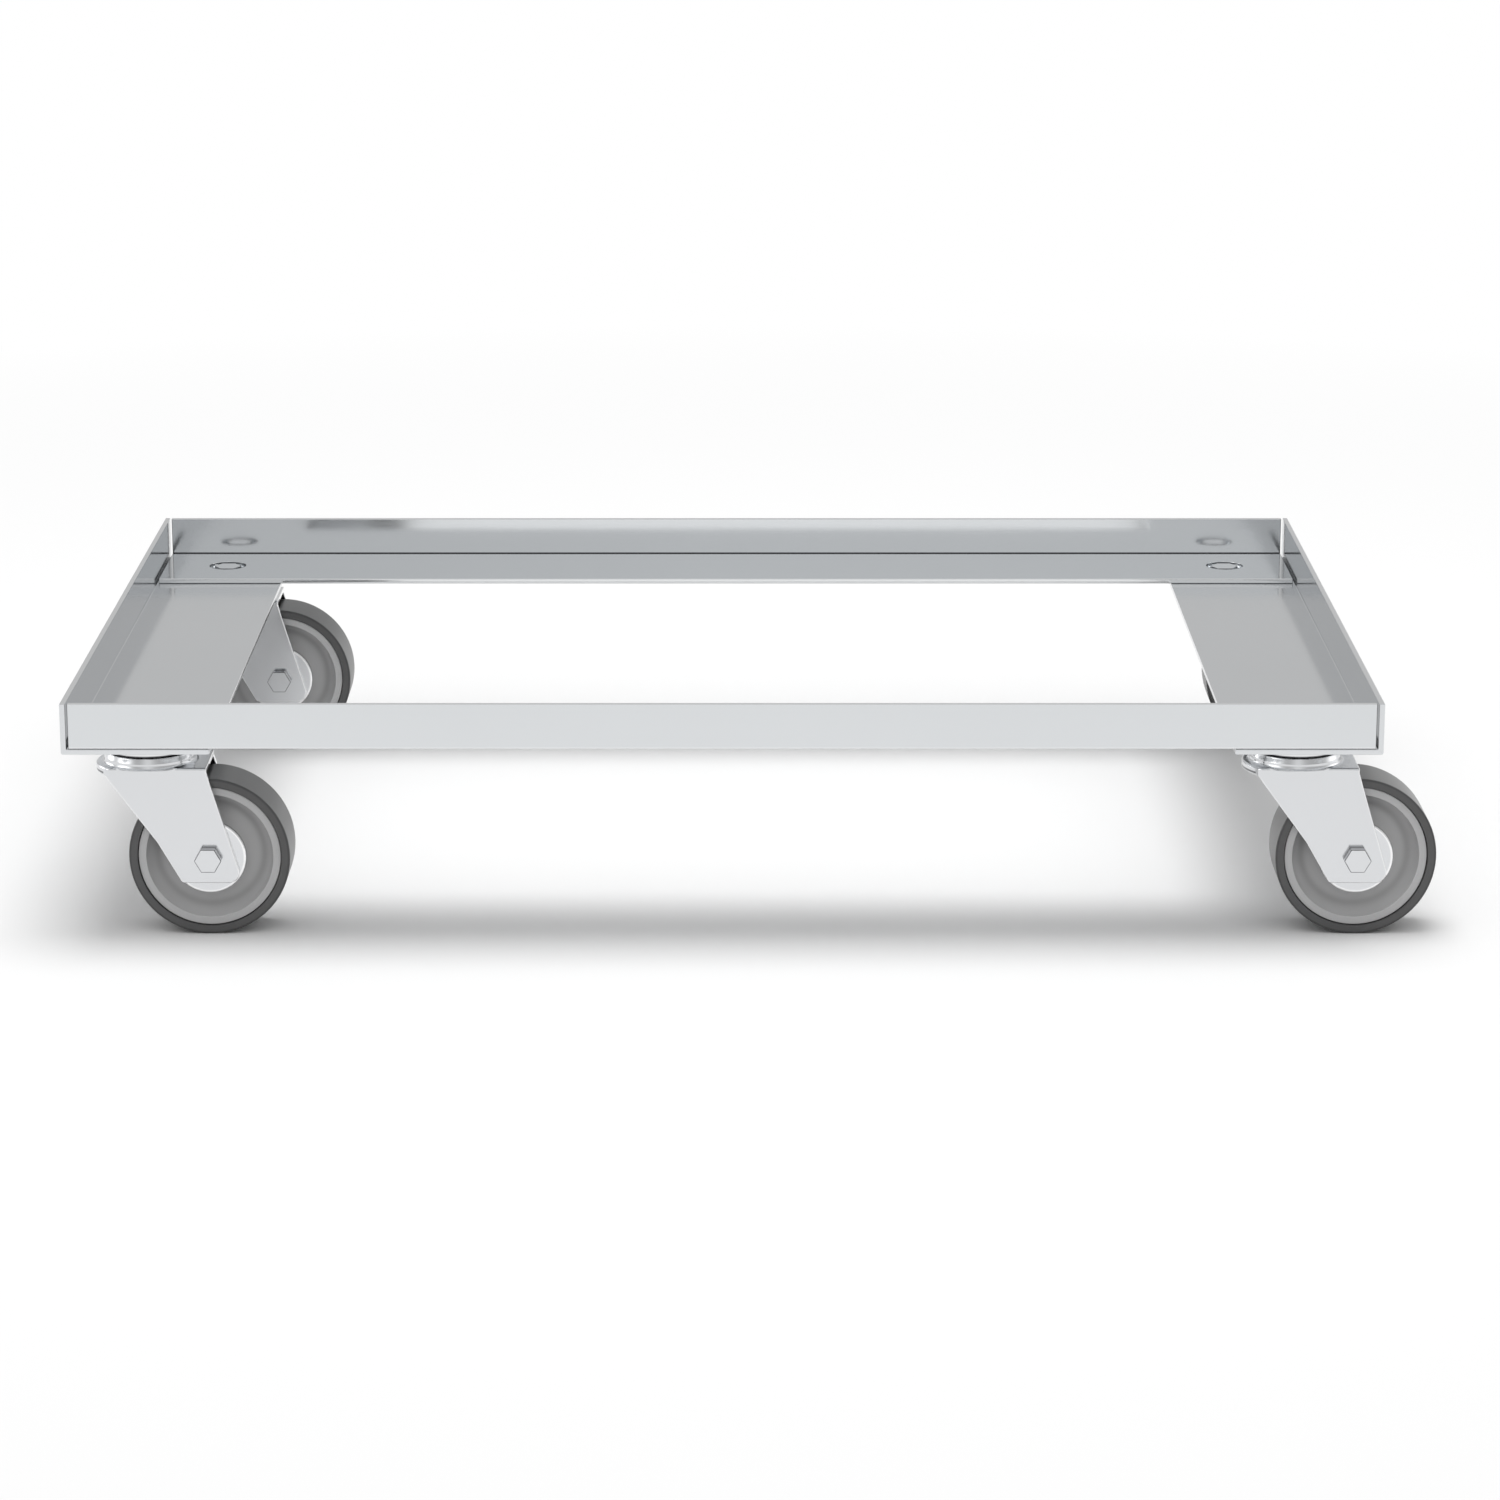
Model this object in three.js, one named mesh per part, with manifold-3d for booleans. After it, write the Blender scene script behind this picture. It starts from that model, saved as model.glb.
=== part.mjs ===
import * as THREE from 'three';
import { mergeVertices } from 'three/addons/utils/BufferGeometryUtils.js';
import Module from 'manifold-3d';

// Open dolly for stacking crates: four L angles of sheet metal on four identical swivel casters,
// which all trail to the right. Lengths are in millimetres. X runs along the front, Y from front
// to back, and Z up from the floor. The origin is on the floor, below the middle of the whole.

const wasm = await Module();
wasm.setup();

// Gaps and helper sizes
const seatGap = 0.3;
const cutOverrun = 2;

// Frame
const frameLength = 607;
const frameDepth = 407;
const sheetThickness = 2.5;
const foldRadius = 1;
const sideAngleHeight = 24;
const sideFlangeWidth = 68;
const railFlangeWidth = 65;
const railEndGap = 1;
const headHoleRadius = 9.75;

// Place of each swivel axis, in from the outer side and from the front or rear plane
const swivelInsetSide = 36.6;
const swivelInsetEnd = 32.6;

// Wheel
const wheelRadius = 37.5;
const wheelTrail = 28;
const tyreHalfWidth = 14;
const tyreInnerRadius = 33.4;
const tyreCornerRadius = 0.8;
const tyreLockDepth = 1.5;
const tyreLockHalfWidth = 5;
const rimHalfWidth = 13;
const rimInnerRadius = 29.5;
const hubRadius = 11.5;
const hubFootRadius = 13.5;
const webHalfThickness = 2;

// Axle
const axleRadius = 3;
const axleHexFlats = 11;
const axleHeadHeight = 4.5;
const axleNutHeight = 5;
const axleEndLength = 1.5;
const sleeveWall = 1.2;
const guardRadius = 17.5;
const guardSheet = 0.8;
const guardRimDepth = 1.7;

// Fork
const forkSheet = 2.5;
const forkHalfWidth = 17.5;
const noseRadius = 24.9;
const wheelTopClearance = 3.5;
const skirtDepth = 3.2;
const legTopLead = 19.2;
const legTopDrop = 4.3;
const legKneeLead = 23.6;
const legKneeRise = 7.6;
const legFootLead = 12.6;
const legFootDrop = 11.8;
const legFootRound = 2;
const legTailTop = 0.3;
const legTailFoot = 15.8;
const legTailRound = 5;

// Race dish pressed up from the crown of the fork
const dishHeight = 5.4;
const dishRimRadius = 20.3;
const dishNeckRadius = 21;
const dishFootRadius = 22;
const dishEdgeRound = 0.8;
const flareDepth = 2.7;
const plateauDrop = 0.4;
const plateauSlope = 0.8;
const grooveSheet = 2.2;

// Upper race cup
const cupRadius = 20.7;
const cupWall = 2.5;
const cupPlate = 2;
const cupDepth = 4.7;
const cupTopRound = 1.5;
const raceGap = 0.4;

// Balls
const ballRadius = 2.4;
const ballPitchRadius = 15.5;
const ballTopGap = 0.2;
const ballCount = 8;
const cageHalfWidth = 1.2;
const cageThickness = 0.6;

// Kingpin
const kingpinRadius = 6;
const kingpinNeckRadius = 5;
const kingpinHeadRadius = 10;
const kingpinHeadThickness = 2.5;
const kingpinEdge = 0.6;

// Mounting bolt of a caster
const mountBoltRadius = 3;
const mountHexFlats = 10;
const mountHeadHeight = 2.3;
const mountFlangeRadius = 7.5;
const mountFlangeThickness = 0.9;
const mountFlangeRise = 0.5;
const mountWasherRadius = 7;
const mountWasherThickness = 1.6;
const mountNutHeight = 5;
const mountEndLength = 1;
const hexChamfer = 0.4;

// Counts of facets round each piece
const wheelSides = 24;
const raceSides = 20;
const guardSides = 16;
const roundSides = 12;
const holeSides = 20;
const foldSteps = 2;
const bowlSteps = 3;
const dishSteps = 2;
const noseSteps = 5;
const legSteps = 3;
const hexSides = 6;

// Heights that follow from the stack of pieces, floor upward
const axleHeight = wheelRadius;
const crownUnder = 2 * wheelRadius + wheelTopClearance;
const crownTop = crownUnder + forkSheet;
const dishRimHeight = crownTop + dishHeight;
const cupRimHeight = dishRimHeight + raceGap;
const casterHeight = cupRimHeight + cupDepth;
const cupUnder = casterHeight - cupPlate;
const ballHeight = cupUnder - ballTopGap - ballRadius;
const plateauTop = dishRimHeight - plateauDrop;
const plateauUnder = plateauTop - forkSheet;
const kingpinHeadTop = plateauUnder - seatGap;
const kingpinHeadUnder = kingpinHeadTop - kingpinHeadThickness;
const mountWasherUnder = kingpinHeadUnder - mountWasherThickness;
const mountNutUnder = mountWasherUnder - mountNutHeight;
const mountBoltEnd = mountNutUnder - mountEndLength;
const sideFlangeTop = casterHeight + sheetThickness;
const frameTop = casterHeight + sideAngleHeight;

// Widths that follow, out from the middle plane of the wheel
const legInner = forkHalfWidth - forkSheet;
const guardInner = legInner - guardSheet;
const hubHalfWidth = guardInner - seatGap;
const sleeveRadius = axleRadius + seatGap + sleeveWall;

// The wheels stand out past the right side, so the frame is off the middle by half of that
const wheelOverhang = Math.max(wheelTrail + wheelRadius - swivelInsetSide, 0);
const frameMiddle = -wheelOverhang / 2;
const swivelX = frameLength / 2 - swivelInsetSide;
const swivelY = frameDepth / 2 - swivelInsetEnd;

// Finishes
const sheetMetal = { color: 0xc9cccf, roughness: 0.28, metalness: 0.9 };
const platedSteel = { color: 0xd6d8da, roughness: 0.2, metalness: 0.95 };
const brightSteel = { color: 0xdcdee0, roughness: 0.12, metalness: 1 };
const greyPlastic = { color: 0xa6a7a8, roughness: 0.5, metalness: 0 };
const greyRubber = { color: 0x6c6d6e, roughness: 0.75, metalness: 0 };

// Turns a closed geometry into a solid: corners are welded and triangles without area are left out.
function toSolid(geometry) {
  const bare = geometry.clone();
  bare.deleteAttribute('normal');
  bare.deleteAttribute('uv');
  const welded = mergeVertices(bare);
  const index = welded.index.array;
  const triangles = [];
  for (let i = 0; i < index.length; i += 3) {
    const [a, b, c] = index.slice(i, i + 3);
    if (a !== b && b !== c && c !== a) triangles.push(a, b, c);
  }
  const vertProperties = welded.attributes.position.array;
  const triVerts = new Uint32Array(triangles);
  return new wasm.Manifold(new wasm.Mesh({ numProp: 3, vertProperties, triVerts }));
}

function toGeometry(solid) {
  const { vertProperties, triVerts } = solid.getMesh();
  const geometry = new THREE.BufferGeometry();
  geometry.setAttribute('position', new THREE.BufferAttribute(vertProperties, 3));
  geometry.setIndex(new THREE.BufferAttribute(triVerts, 1));
  geometry.computeVertexNormals();
  return geometry;
}

function named(name, geometry, finish) {
  const mesh = new THREE.Mesh(geometry, new THREE.MeshStandardMaterial(finish));
  mesh.name = name;
  return mesh;
}

// A profile of radius and height, turned about the Z axis.
function turnedAboutZ(profile, sides, steps = 1) {
  const points = profile.getPoints(steps);
  return new THREE.LatheGeometry(points, sides).rotateX(Math.PI / 2);
}

// A profile of radius and place along Y, turned about the Y axis, with a flat facet at the bottom.
function turnedAboutY(profile, sides, steps = 1) {
  const points = profile.getPoints(steps);
  return new THREE.LatheGeometry(points, sides, Math.PI / sides);
}

// A closed profile from a list of corners, each a pair of radius and height.
function profileOf(corners) {
  const points = corners.map(([radius, height]) => new THREE.Vector2(radius, height));
  return new THREE.Path().setFromPoints([...points, points[0]]);
}

// An outline in X and Z, carried along Y from one place to another.
function carriedAlongY(outline, from, to, steps = foldSteps) {
  const options = { depth: to - from, bevelEnabled: false, curveSegments: steps };
  return new THREE.ExtrudeGeometry(outline, options).rotateX(Math.PI / 2).translate(0, to, 0);
}

// An outline in Y and Z, carried along X from one place to another.
function carriedAlongX(outline, from, to) {
  const options = { depth: to - from, bevelEnabled: false, curveSegments: foldSteps };
  const turn = new THREE.Matrix4().makeBasis(
    new THREE.Vector3(0, 1, 0),
    new THREE.Vector3(0, 0, 1),
    new THREE.Vector3(1, 0, 0),
  );
  return new THREE.ExtrudeGeometry(outline, options).applyMatrix4(turn).translate(from, 0, 0);
}

// A round bar along Z between two heights.
function barAlongZ(radius, low, high, sides) {
  const bar = new THREE.CylinderGeometry(radius, radius, high - low, sides);
  return bar.rotateX(Math.PI / 2).translate(0, 0, (low + high) / 2);
}

// A round bar along Y between two places.
function barAlongY(radius, from, to, sides) {
  return new THREE.CylinderGeometry(radius, radius, to - from, sides).translate(0, (from + to) / 2, 0);
}

// A hexagon carried along Y from the origin, with two of its corners on the X axis.
function hexAlongY(flats, height) {
  const corner = cornerRadius(flats);
  const turn = Math.PI / hexSides;
  const prism = new THREE.CylinderGeometry(corner, corner, height, hexSides, 1, false, turn);
  return toSolid(prism.translate(0, height / 2, 0));
}

function cornerRadius(flats) {
  return flats / 2 / Math.cos(Math.PI / hexSides);
}

// The same hexagon with the corners of its far end turned off, as on a bolt head.
function hexHeadAlongY(flats, height) {
  const corner = cornerRadius(flats);
  const cone = profileOf([
    [0, 0],
    [corner + hexChamfer, 0],
    [corner + hexChamfer, height - 2 * hexChamfer],
    [corner - hexChamfer, height],
    [0, height],
  ]);
  const turned = new THREE.LatheGeometry(cone.getPoints(), roundSides);
  return hexAlongY(flats, height).intersect(toSolid(turned));
}

// L outline: its outer corner is at the origin, rounded, and the flange points to the given side.
function angleOutline(flange, height, side) {
  const outline = new THREE.Shape();
  outline.moveTo(side * foldRadius, 0);
  outline.lineTo(side * flange, 0);
  outline.lineTo(side * flange, sheetThickness);
  outline.lineTo(side * sheetThickness, sheetThickness);
  outline.lineTo(side * sheetThickness, height);
  outline.lineTo(0, height);
  outline.lineTo(0, foldRadius);
  outline.quadraticCurveTo(0, 0, side * foldRadius, 0);
  return outline;
}

// Side angle: side is -1 for the left one and 1 for the right one.
function sideAngle(name, side) {
  const outline = angleOutline(sideFlangeWidth, sideAngleHeight, -side);
  const bar = carriedAlongY(outline, -frameDepth / 2, frameDepth / 2);
  let solid = toSolid(bar.translate((side * frameLength) / 2, 0, casterHeight));
  for (const end of [-1, 1]) {
    const low = casterHeight - cutOverrun;
    const high = sideFlangeTop + cutOverrun;
    const hole = barAlongZ(mountBoltRadius + seatGap, low, high, roundSides);
    solid = solid.subtract(toSolid(hole.translate(side * swivelX, end * swivelY, 0)));
  }
  return named(name, toGeometry(solid), sheetMetal);
}

// Rail: end is -1 for the front one and 1 for the rear one. It lies on both side flanges.
function rail(name, end) {
  const railReach = frameLength / 2 - sheetThickness - railEndGap;
  const outline = angleOutline(railFlangeWidth, frameTop - sideFlangeTop, -end);
  const bar = carriedAlongX(outline, -railReach, railReach);
  let solid = toSolid(bar.translate(0, (end * frameDepth) / 2, sideFlangeTop));
  for (const side of [-1, 1]) {
    const low = sideFlangeTop - cutOverrun;
    const high = sideFlangeTop + sheetThickness + cutOverrun;
    const hole = barAlongZ(headHoleRadius, low, high, holeSides);
    solid = solid.subtract(toSolid(hole.translate(side * swivelX, end * swivelY, 0)));
  }
  return named(name, toGeometry(solid), sheetMetal);
}

// Upper race cup: a round plate against the frame with a rim turned down over the balls.
function topCup() {
  const profile = profileOf([
    [kingpinNeckRadius + seatGap, cupUnder],
    [cupRadius - cupWall, cupUnder],
    [cupRadius - cupWall, cupRimHeight],
    [cupRadius, cupRimHeight],
    [cupRadius, casterHeight - cupTopRound],
    [cupRadius - cupTopRound, casterHeight],
    [kingpinNeckRadius + seatGap, casterHeight],
  ]);
  return turnedAboutZ(profile, raceSides);
}

// Kingpin: a hollow headed rivet. The cup sits on its shoulder and its head holds the fork up.
function kingpin() {
  const bore = mountBoltRadius + seatGap;
  const profile = profileOf([
    [bore, kingpinHeadUnder],
    [kingpinHeadRadius - kingpinEdge, kingpinHeadUnder],
    [kingpinHeadRadius, kingpinHeadTop],
    [kingpinRadius, kingpinHeadTop],
    [kingpinRadius, cupUnder],
    [kingpinNeckRadius, cupUnder],
    [kingpinNeckRadius, casterHeight],
    [bore, casterHeight],
  ]);
  return turnedAboutZ(profile, roundSides);
}

// Mounting bolt: a low hex head with a round flange, sunk in the rail, and a shank down to its nut.
function mountBolt() {
  const flange = profileOf([
    [0, sideFlangeTop],
    [mountFlangeRadius, sideFlangeTop],
    [mountFlangeRadius, sideFlangeTop + mountFlangeThickness],
    [mountHexFlats / 2, sideFlangeTop + mountFlangeThickness + mountFlangeRise],
    [0, sideFlangeTop + mountFlangeThickness + mountFlangeRise],
  ]);
  const upright = hexHeadAlongY(mountHexFlats, mountHeadHeight).rotate([90, 0, 0]);
  const head = upright.translate([0, 0, sideFlangeTop]);
  const shank = barAlongZ(mountBoltRadius, mountBoltEnd, sideFlangeTop + mountFlangeThickness, roundSides);
  return toGeometry(head.add(toSolid(turnedAboutZ(flange, roundSides))).add(toSolid(shank)));
}

function mountWasher() {
  const hole = mountBoltRadius + seatGap;
  const profile = profileOf([
    [hole, mountWasherUnder],
    [mountWasherRadius, mountWasherUnder],
    [mountWasherRadius, kingpinHeadUnder],
    [hole, kingpinHeadUnder],
  ]);
  return turnedAboutZ(profile, roundSides);
}

// Nut under the washer.
function mountNut() {
  const nut = hexAlongY(mountHexFlats, mountNutHeight).rotate([-90, 0, 0]);
  const low = mountNutUnder - cutOverrun;
  const high = mountWasherUnder + cutOverrun;
  const bore = barAlongZ(mountBoltRadius + seatGap, low, high, roundSides);
  return toGeometry(nut.translate([0, 0, mountWasherUnder]).subtract(toSolid(bore)));
}

// Ring of balls, held in line by a flat cage.
function ballRing() {
  const cage = profileOf([
    [ballPitchRadius - cageHalfWidth, ballHeight - cageThickness / 2],
    [ballPitchRadius + cageHalfWidth, ballHeight - cageThickness / 2],
    [ballPitchRadius + cageHalfWidth, ballHeight + cageThickness / 2],
    [ballPitchRadius - cageHalfWidth, ballHeight + cageThickness / 2],
  ]);
  let solid = toSolid(turnedAboutZ(cage, ballCount));
  for (let i = 0; i < ballCount; i += 1) {
    const turn = (2 * Math.PI * i) / ballCount;
    const ball = new THREE.IcosahedronGeometry(ballRadius);
    const x = ballPitchRadius * Math.cos(turn);
    const y = ballPitchRadius * Math.sin(turn);
    solid = solid.add(toSolid(ball.translate(x, y, ballHeight)));
  }
  return toGeometry(solid);
}

// Top view of the fork, drawn in by a wall: a round nose and two parallel sides, open to the rear.
function forkPlan(wall, tail) {
  const halfWidth = forkHalfWidth - wall;
  const radius = noseRadius - wall;
  const halfTurn = Math.asin(halfWidth / radius);
  const plan = new THREE.Shape();
  plan.moveTo(tail, -halfWidth);
  plan.lineTo(tail, halfWidth);
  plan.absarc(0, 0, radius, Math.PI - halfTurn, Math.PI + halfTurn, false);
  plan.closePath();
  return plan;
}

function forkBlock(wall, tail, low, high) {
  const options = { depth: high - low, bevelEnabled: false, curveSegments: noseSteps };
  return toSolid(new THREE.ExtrudeGeometry(forkPlan(wall, tail), options).translate(0, 0, low));
}

// Outer skin of the race dish: it flares out of the legs, turns in at the neck and holds the groove.
function dishOuter() {
  const flareLow = crownTop - flareDepth;
  const grooveRadius = ballRadius + seatGap;
  const rimAngle = Math.asin((ballHeight - dishRimHeight) / grooveRadius);
  const profile = new THREE.Path();
  profile.moveTo(0, flareLow);
  profile.lineTo(forkHalfWidth - seatGap, flareLow);
  profile.lineTo(dishFootRadius, crownTop);
  profile.quadraticCurveTo(dishNeckRadius, crownTop, dishNeckRadius, crownTop + forkSheet);
  profile.lineTo(dishRimRadius, dishRimHeight - dishEdgeRound);
  profile.lineTo(dishRimRadius - dishEdgeRound, dishRimHeight);
  profile.absarc(ballPitchRadius, ballHeight, grooveRadius, -rimAngle, Math.PI + rimAngle, true);
  profile.lineTo(ballPitchRadius - grooveRadius - plateauSlope, plateauTop);
  profile.lineTo(0, plateauTop);
  return toSolid(turnedAboutZ(profile, raceSides, dishSteps));
}

// Hollow under the race dish, one sheet inside its outer skin.
function dishInner() {
  const flareLow = crownTop - flareDepth;
  const grooveUnder = ballHeight - ballRadius - seatGap - grooveSheet;
  const plateauEdge = ballPitchRadius - ballRadius - plateauSlope;
  const profile = new THREE.Path();
  profile.moveTo(0, flareLow - cutOverrun);
  profile.lineTo(legInner - seatGap, flareLow - cutOverrun);
  profile.lineTo(legInner - seatGap, flareLow);
  profile.lineTo(dishNeckRadius - forkSheet, crownTop - seatGap);
  profile.lineTo(dishNeckRadius - forkSheet, grooveUnder);
  profile.lineTo(plateauEdge, grooveUnder);
  profile.lineTo(plateauEdge - plateauSlope, plateauUnder);
  profile.lineTo(0, plateauUnder);
  return toSolid(turnedAboutZ(profile, raceSides, dishSteps));
}

// Side view of the fork: skirt at the nose, then a leg that tapers down to the axle.
function legOutline() {
  const high = dishRimHeight + cutOverrun;
  const foot = axleHeight - legFootDrop;
  const tailTop = wheelTrail + legTailTop;
  const tailFoot = wheelTrail + legTailFoot;
  const tailSlopeShare = (tailFoot - tailTop) / (crownTop - foot);
  const outline = new THREE.Shape();
  outline.moveTo(tailTop, high);
  outline.lineTo(-noseRadius - cutOverrun, high);
  outline.lineTo(-noseRadius - cutOverrun, crownTop - skirtDepth);
  outline.lineTo(-legTopLead, crownTop - legTopDrop);
  outline.lineTo(wheelTrail - legKneeLead, axleHeight + legKneeRise);
  outline.lineTo(wheelTrail - legFootLead - legFootRound * tailSlopeShare, foot + legFootRound);
  outline.quadraticCurveTo(wheelTrail - legFootLead, foot, wheelTrail - legFootLead + legFootRound, foot);
  outline.lineTo(tailFoot - legTailRound, foot);
  outline.quadraticCurveTo(tailFoot, foot, tailFoot - legTailRound * tailSlopeShare, foot + legTailRound);
  outline.lineTo(tailTop, crownTop);
  outline.closePath();
  return outline;
}

// Pressed fork: a bent sheet hull joined with the race dish, hollowed, and cut to the side view.
function fork() {
  const tail = wheelTrail + legTailFoot + cutOverrun;
  const foot = axleHeight - legFootDrop;
  const sideReach = dishFootRadius + cutOverrun;
  const skin = forkBlock(0, tail, foot - cutOverrun, crownTop).add(dishOuter());
  const hollow = forkBlock(forkSheet, tail + cutOverrun, foot - 2 * cutOverrun, crownUnder).add(dishInner());
  const sideCut = toSolid(carriedAlongY(legOutline(), -sideReach, sideReach, legSteps));
  const pinLow = plateauUnder - cutOverrun;
  const pinHigh = plateauTop + cutOverrun;
  const pinHole = toSolid(barAlongZ(kingpinRadius + seatGap, pinLow, pinHigh, roundSides));
  const axleHole = barAlongY(axleRadius + seatGap, -sideReach, sideReach, roundSides);
  const shell = skin.subtract(hollow).intersect(sideCut).subtract(pinHole);
  return toGeometry(shell.subtract(toSolid(axleHole.translate(wheelTrail, 0, axleHeight))));
}

// Axle bolt: its hex head is at the front, on the outer face of the front leg.
function axleBolt() {
  const end = forkHalfWidth + axleNutHeight + axleEndLength;
  const head = hexHeadAlongY(axleHexFlats, axleHeadHeight).rotate([180, 0, 0]);
  const shank = toSolid(barAlongY(axleRadius, -forkHalfWidth - axleHeadHeight / 2, end, roundSides));
  return toGeometry(head.translate([0, -forkHalfWidth, 0]).add(shank));
}

function axleNut() {
  const nut = hexAlongY(axleHexFlats, axleNutHeight).translate([0, forkHalfWidth, 0]);
  const from = forkHalfWidth - cutOverrun;
  const to = forkHalfWidth + axleNutHeight + cutOverrun;
  return toGeometry(nut.subtract(toSolid(barAlongY(axleRadius + seatGap, from, to, roundSides))));
}

// Sleeve that the fork clamps between the two guards, and that the wheel turns on.
function axleSleeve() {
  const profile = profileOf([
    [axleRadius + seatGap, -guardInner],
    [sleeveRadius, -guardInner],
    [sleeveRadius, guardInner],
    [axleRadius + seatGap, guardInner],
  ]);
  return turnedAboutY(profile, roundSides);
}

// Thread guard: a thin round cover against the inside of a leg, its rim turned in to the wheel.
function threadGuard(end) {
  const shoulder = guardRadius - guardRimDepth;
  const profile = profileOf([
    [axleRadius + seatGap, guardInner],
    [shoulder, guardInner],
    [guardRadius, legInner - guardRimDepth],
    [shoulder + guardSheet, legInner],
    [axleRadius + seatGap, legInner],
  ]);
  const guard = turnedAboutY(profile, guardSides);
  return end < 0 ? guard.rotateX(Math.PI) : guard;
}

// Wheel core: hub, dished web and flat rim ring, with a ridge round it that locks the tyre.
function wheelCore() {
  const bore = sleeveRadius + seatGap;
  const outer = tyreInnerRadius - seatGap;
  const web = webHalfThickness;
  const profile = new THREE.Path();
  profile.moveTo(bore, -hubHalfWidth);
  profile.lineTo(hubRadius, -hubHalfWidth);
  profile.bezierCurveTo(hubFootRadius, -web, rimInnerRadius, -web, rimInnerRadius, -rimHalfWidth);
  profile.lineTo(outer, -rimHalfWidth);
  profile.lineTo(outer, -tyreLockHalfWidth);
  profile.lineTo(outer + tyreLockDepth, 0);
  profile.lineTo(outer, tyreLockHalfWidth);
  profile.lineTo(outer, rimHalfWidth);
  profile.lineTo(rimInnerRadius, rimHalfWidth);
  profile.bezierCurveTo(rimInnerRadius, web, hubFootRadius, web, hubRadius, hubHalfWidth);
  profile.lineTo(bore, hubHalfWidth);
  profile.lineTo(bore, -hubHalfWidth);
  return turnedAboutY(profile, wheelSides, bowlSteps);
}

// Tyre: its flat facets touch the true tread circle, so that the wheel keeps its height.
function tyre() {
  const tread = wheelRadius / Math.cos(Math.PI / wheelSides);
  const profile = profileOf([
    [tyreInnerRadius, -tyreHalfWidth],
    [tread - tyreCornerRadius, -tyreHalfWidth],
    [tread, -tyreHalfWidth + tyreCornerRadius],
    [tread, tyreHalfWidth - tyreCornerRadius],
    [tread - tyreCornerRadius, tyreHalfWidth],
    [tyreInnerRadius, tyreHalfWidth],
    [tyreInnerRadius, tyreLockHalfWidth],
    [tyreInnerRadius + tyreLockDepth, 0],
    [tyreInnerRadius, -tyreLockHalfWidth],
  ]);
  return turnedAboutY(profile, wheelSides);
}

// One caster about its swivel axis, which stands at the group's origin on the floor.
function caster(place) {
  const upper = new THREE.Group();
  upper.add(named(`${place}_top_cup`, topCup(), brightSteel));
  upper.add(named(`${place}_kingpin`, kingpin(), platedSteel));
  upper.add(named(`${place}_mount_bolt`, mountBolt(), brightSteel));
  upper.add(named(`${place}_mount_washer`, mountWasher(), platedSteel));
  upper.add(named(`${place}_mount_nut`, mountNut(), platedSteel));
  const swivel = new THREE.Group();
  swivel.add(named(`${place}_ball_ring`, ballRing(), brightSteel));
  swivel.add(named(`${place}_fork`, fork(), platedSteel));
  const axle = new THREE.Group();
  axle.position.set(wheelTrail, 0, axleHeight);
  axle.add(named(`${place}_axle_bolt`, axleBolt(), platedSteel));
  axle.add(named(`${place}_axle_nut`, axleNut(), platedSteel));
  axle.add(named(`${place}_axle_sleeve`, axleSleeve(), platedSteel));
  axle.add(named(`${place}_near_thread_guard`, threadGuard(-1), platedSteel));
  axle.add(named(`${place}_far_thread_guard`, threadGuard(1), platedSteel));
  axle.add(named(`${place}_wheel_core`, wheelCore(), greyPlastic));
  axle.add(named(`${place}_tyre`, tyre(), greyRubber));
  const whole = new THREE.Group();
  whole.add(upper, swivel.add(axle));
  return whole;
}

function dolly() {
  const whole = new THREE.Group();
  whole.position.x = frameMiddle;
  whole.add(sideAngle('left_side_angle', -1));
  whole.add(sideAngle('right_side_angle', 1));
  whole.add(rail('front_rail', -1));
  whole.add(rail('rear_rail', 1));
  for (const [end, endName] of [[-1, 'front'], [1, 'rear']]) {
    for (const [side, sideName] of [[-1, 'left'], [1, 'right']]) {
      const unit = caster(`${endName}_${sideName}`);
      unit.position.set(side * swivelX, end * swivelY, 0);
      whole.add(unit);
    }
  }
  return whole;
}

export default dolly();
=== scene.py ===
"""Looks of an open furniture dolly: four folded sheet angles on four swivel casters.

The pieces are built in millimetres, with the floor at height zero, and become metres when they
are made meshes. X runs along the front, Y from front to back, and Z up.
"""

import itertools
import logging
import math
from dataclasses import dataclass, field
from enum import Enum
from typing import Callable, Iterable, Sequence

import bmesh
import bpy
import numpy as np
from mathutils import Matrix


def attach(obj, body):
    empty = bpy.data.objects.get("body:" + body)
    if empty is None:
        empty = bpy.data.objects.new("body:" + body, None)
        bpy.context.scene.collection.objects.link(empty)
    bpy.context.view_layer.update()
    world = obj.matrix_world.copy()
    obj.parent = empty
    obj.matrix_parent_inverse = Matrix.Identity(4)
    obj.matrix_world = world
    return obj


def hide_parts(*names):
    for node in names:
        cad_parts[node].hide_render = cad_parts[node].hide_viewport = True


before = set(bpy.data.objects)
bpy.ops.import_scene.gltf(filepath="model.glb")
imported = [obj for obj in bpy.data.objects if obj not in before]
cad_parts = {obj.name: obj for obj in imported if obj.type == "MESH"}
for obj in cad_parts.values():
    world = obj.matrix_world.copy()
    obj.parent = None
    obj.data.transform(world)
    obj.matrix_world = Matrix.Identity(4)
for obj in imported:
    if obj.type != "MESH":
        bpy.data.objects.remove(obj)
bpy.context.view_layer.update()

LOG = logging.getLogger("dolly")
MARKS = "marks"

# METRES turns millimetres into metres. SUPPORT is how far from an eased edge the row of points
# stands that keeps the flat beside it flat. TINY keeps a length of zero out of a division.
METRES = 0.001
WELD_METRES = 2e-6
SUPPORT = 0.12
TINY = 1e-9

Spot = tuple[float, float]
Triple = tuple[float, float, float]
EVEN: Triple = (1.0, 1.0, 1.0)


# Names and shared dimensions


class Slot(Enum):
    """Material slots of the record."""

    SHEET = "sheet_metal"
    ZINC = "zinc_steel"
    BRIGHT = "bright_steel"
    PLASTIC = "wheel_plastic"
    RUBBER = "tyre_rubber"


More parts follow.
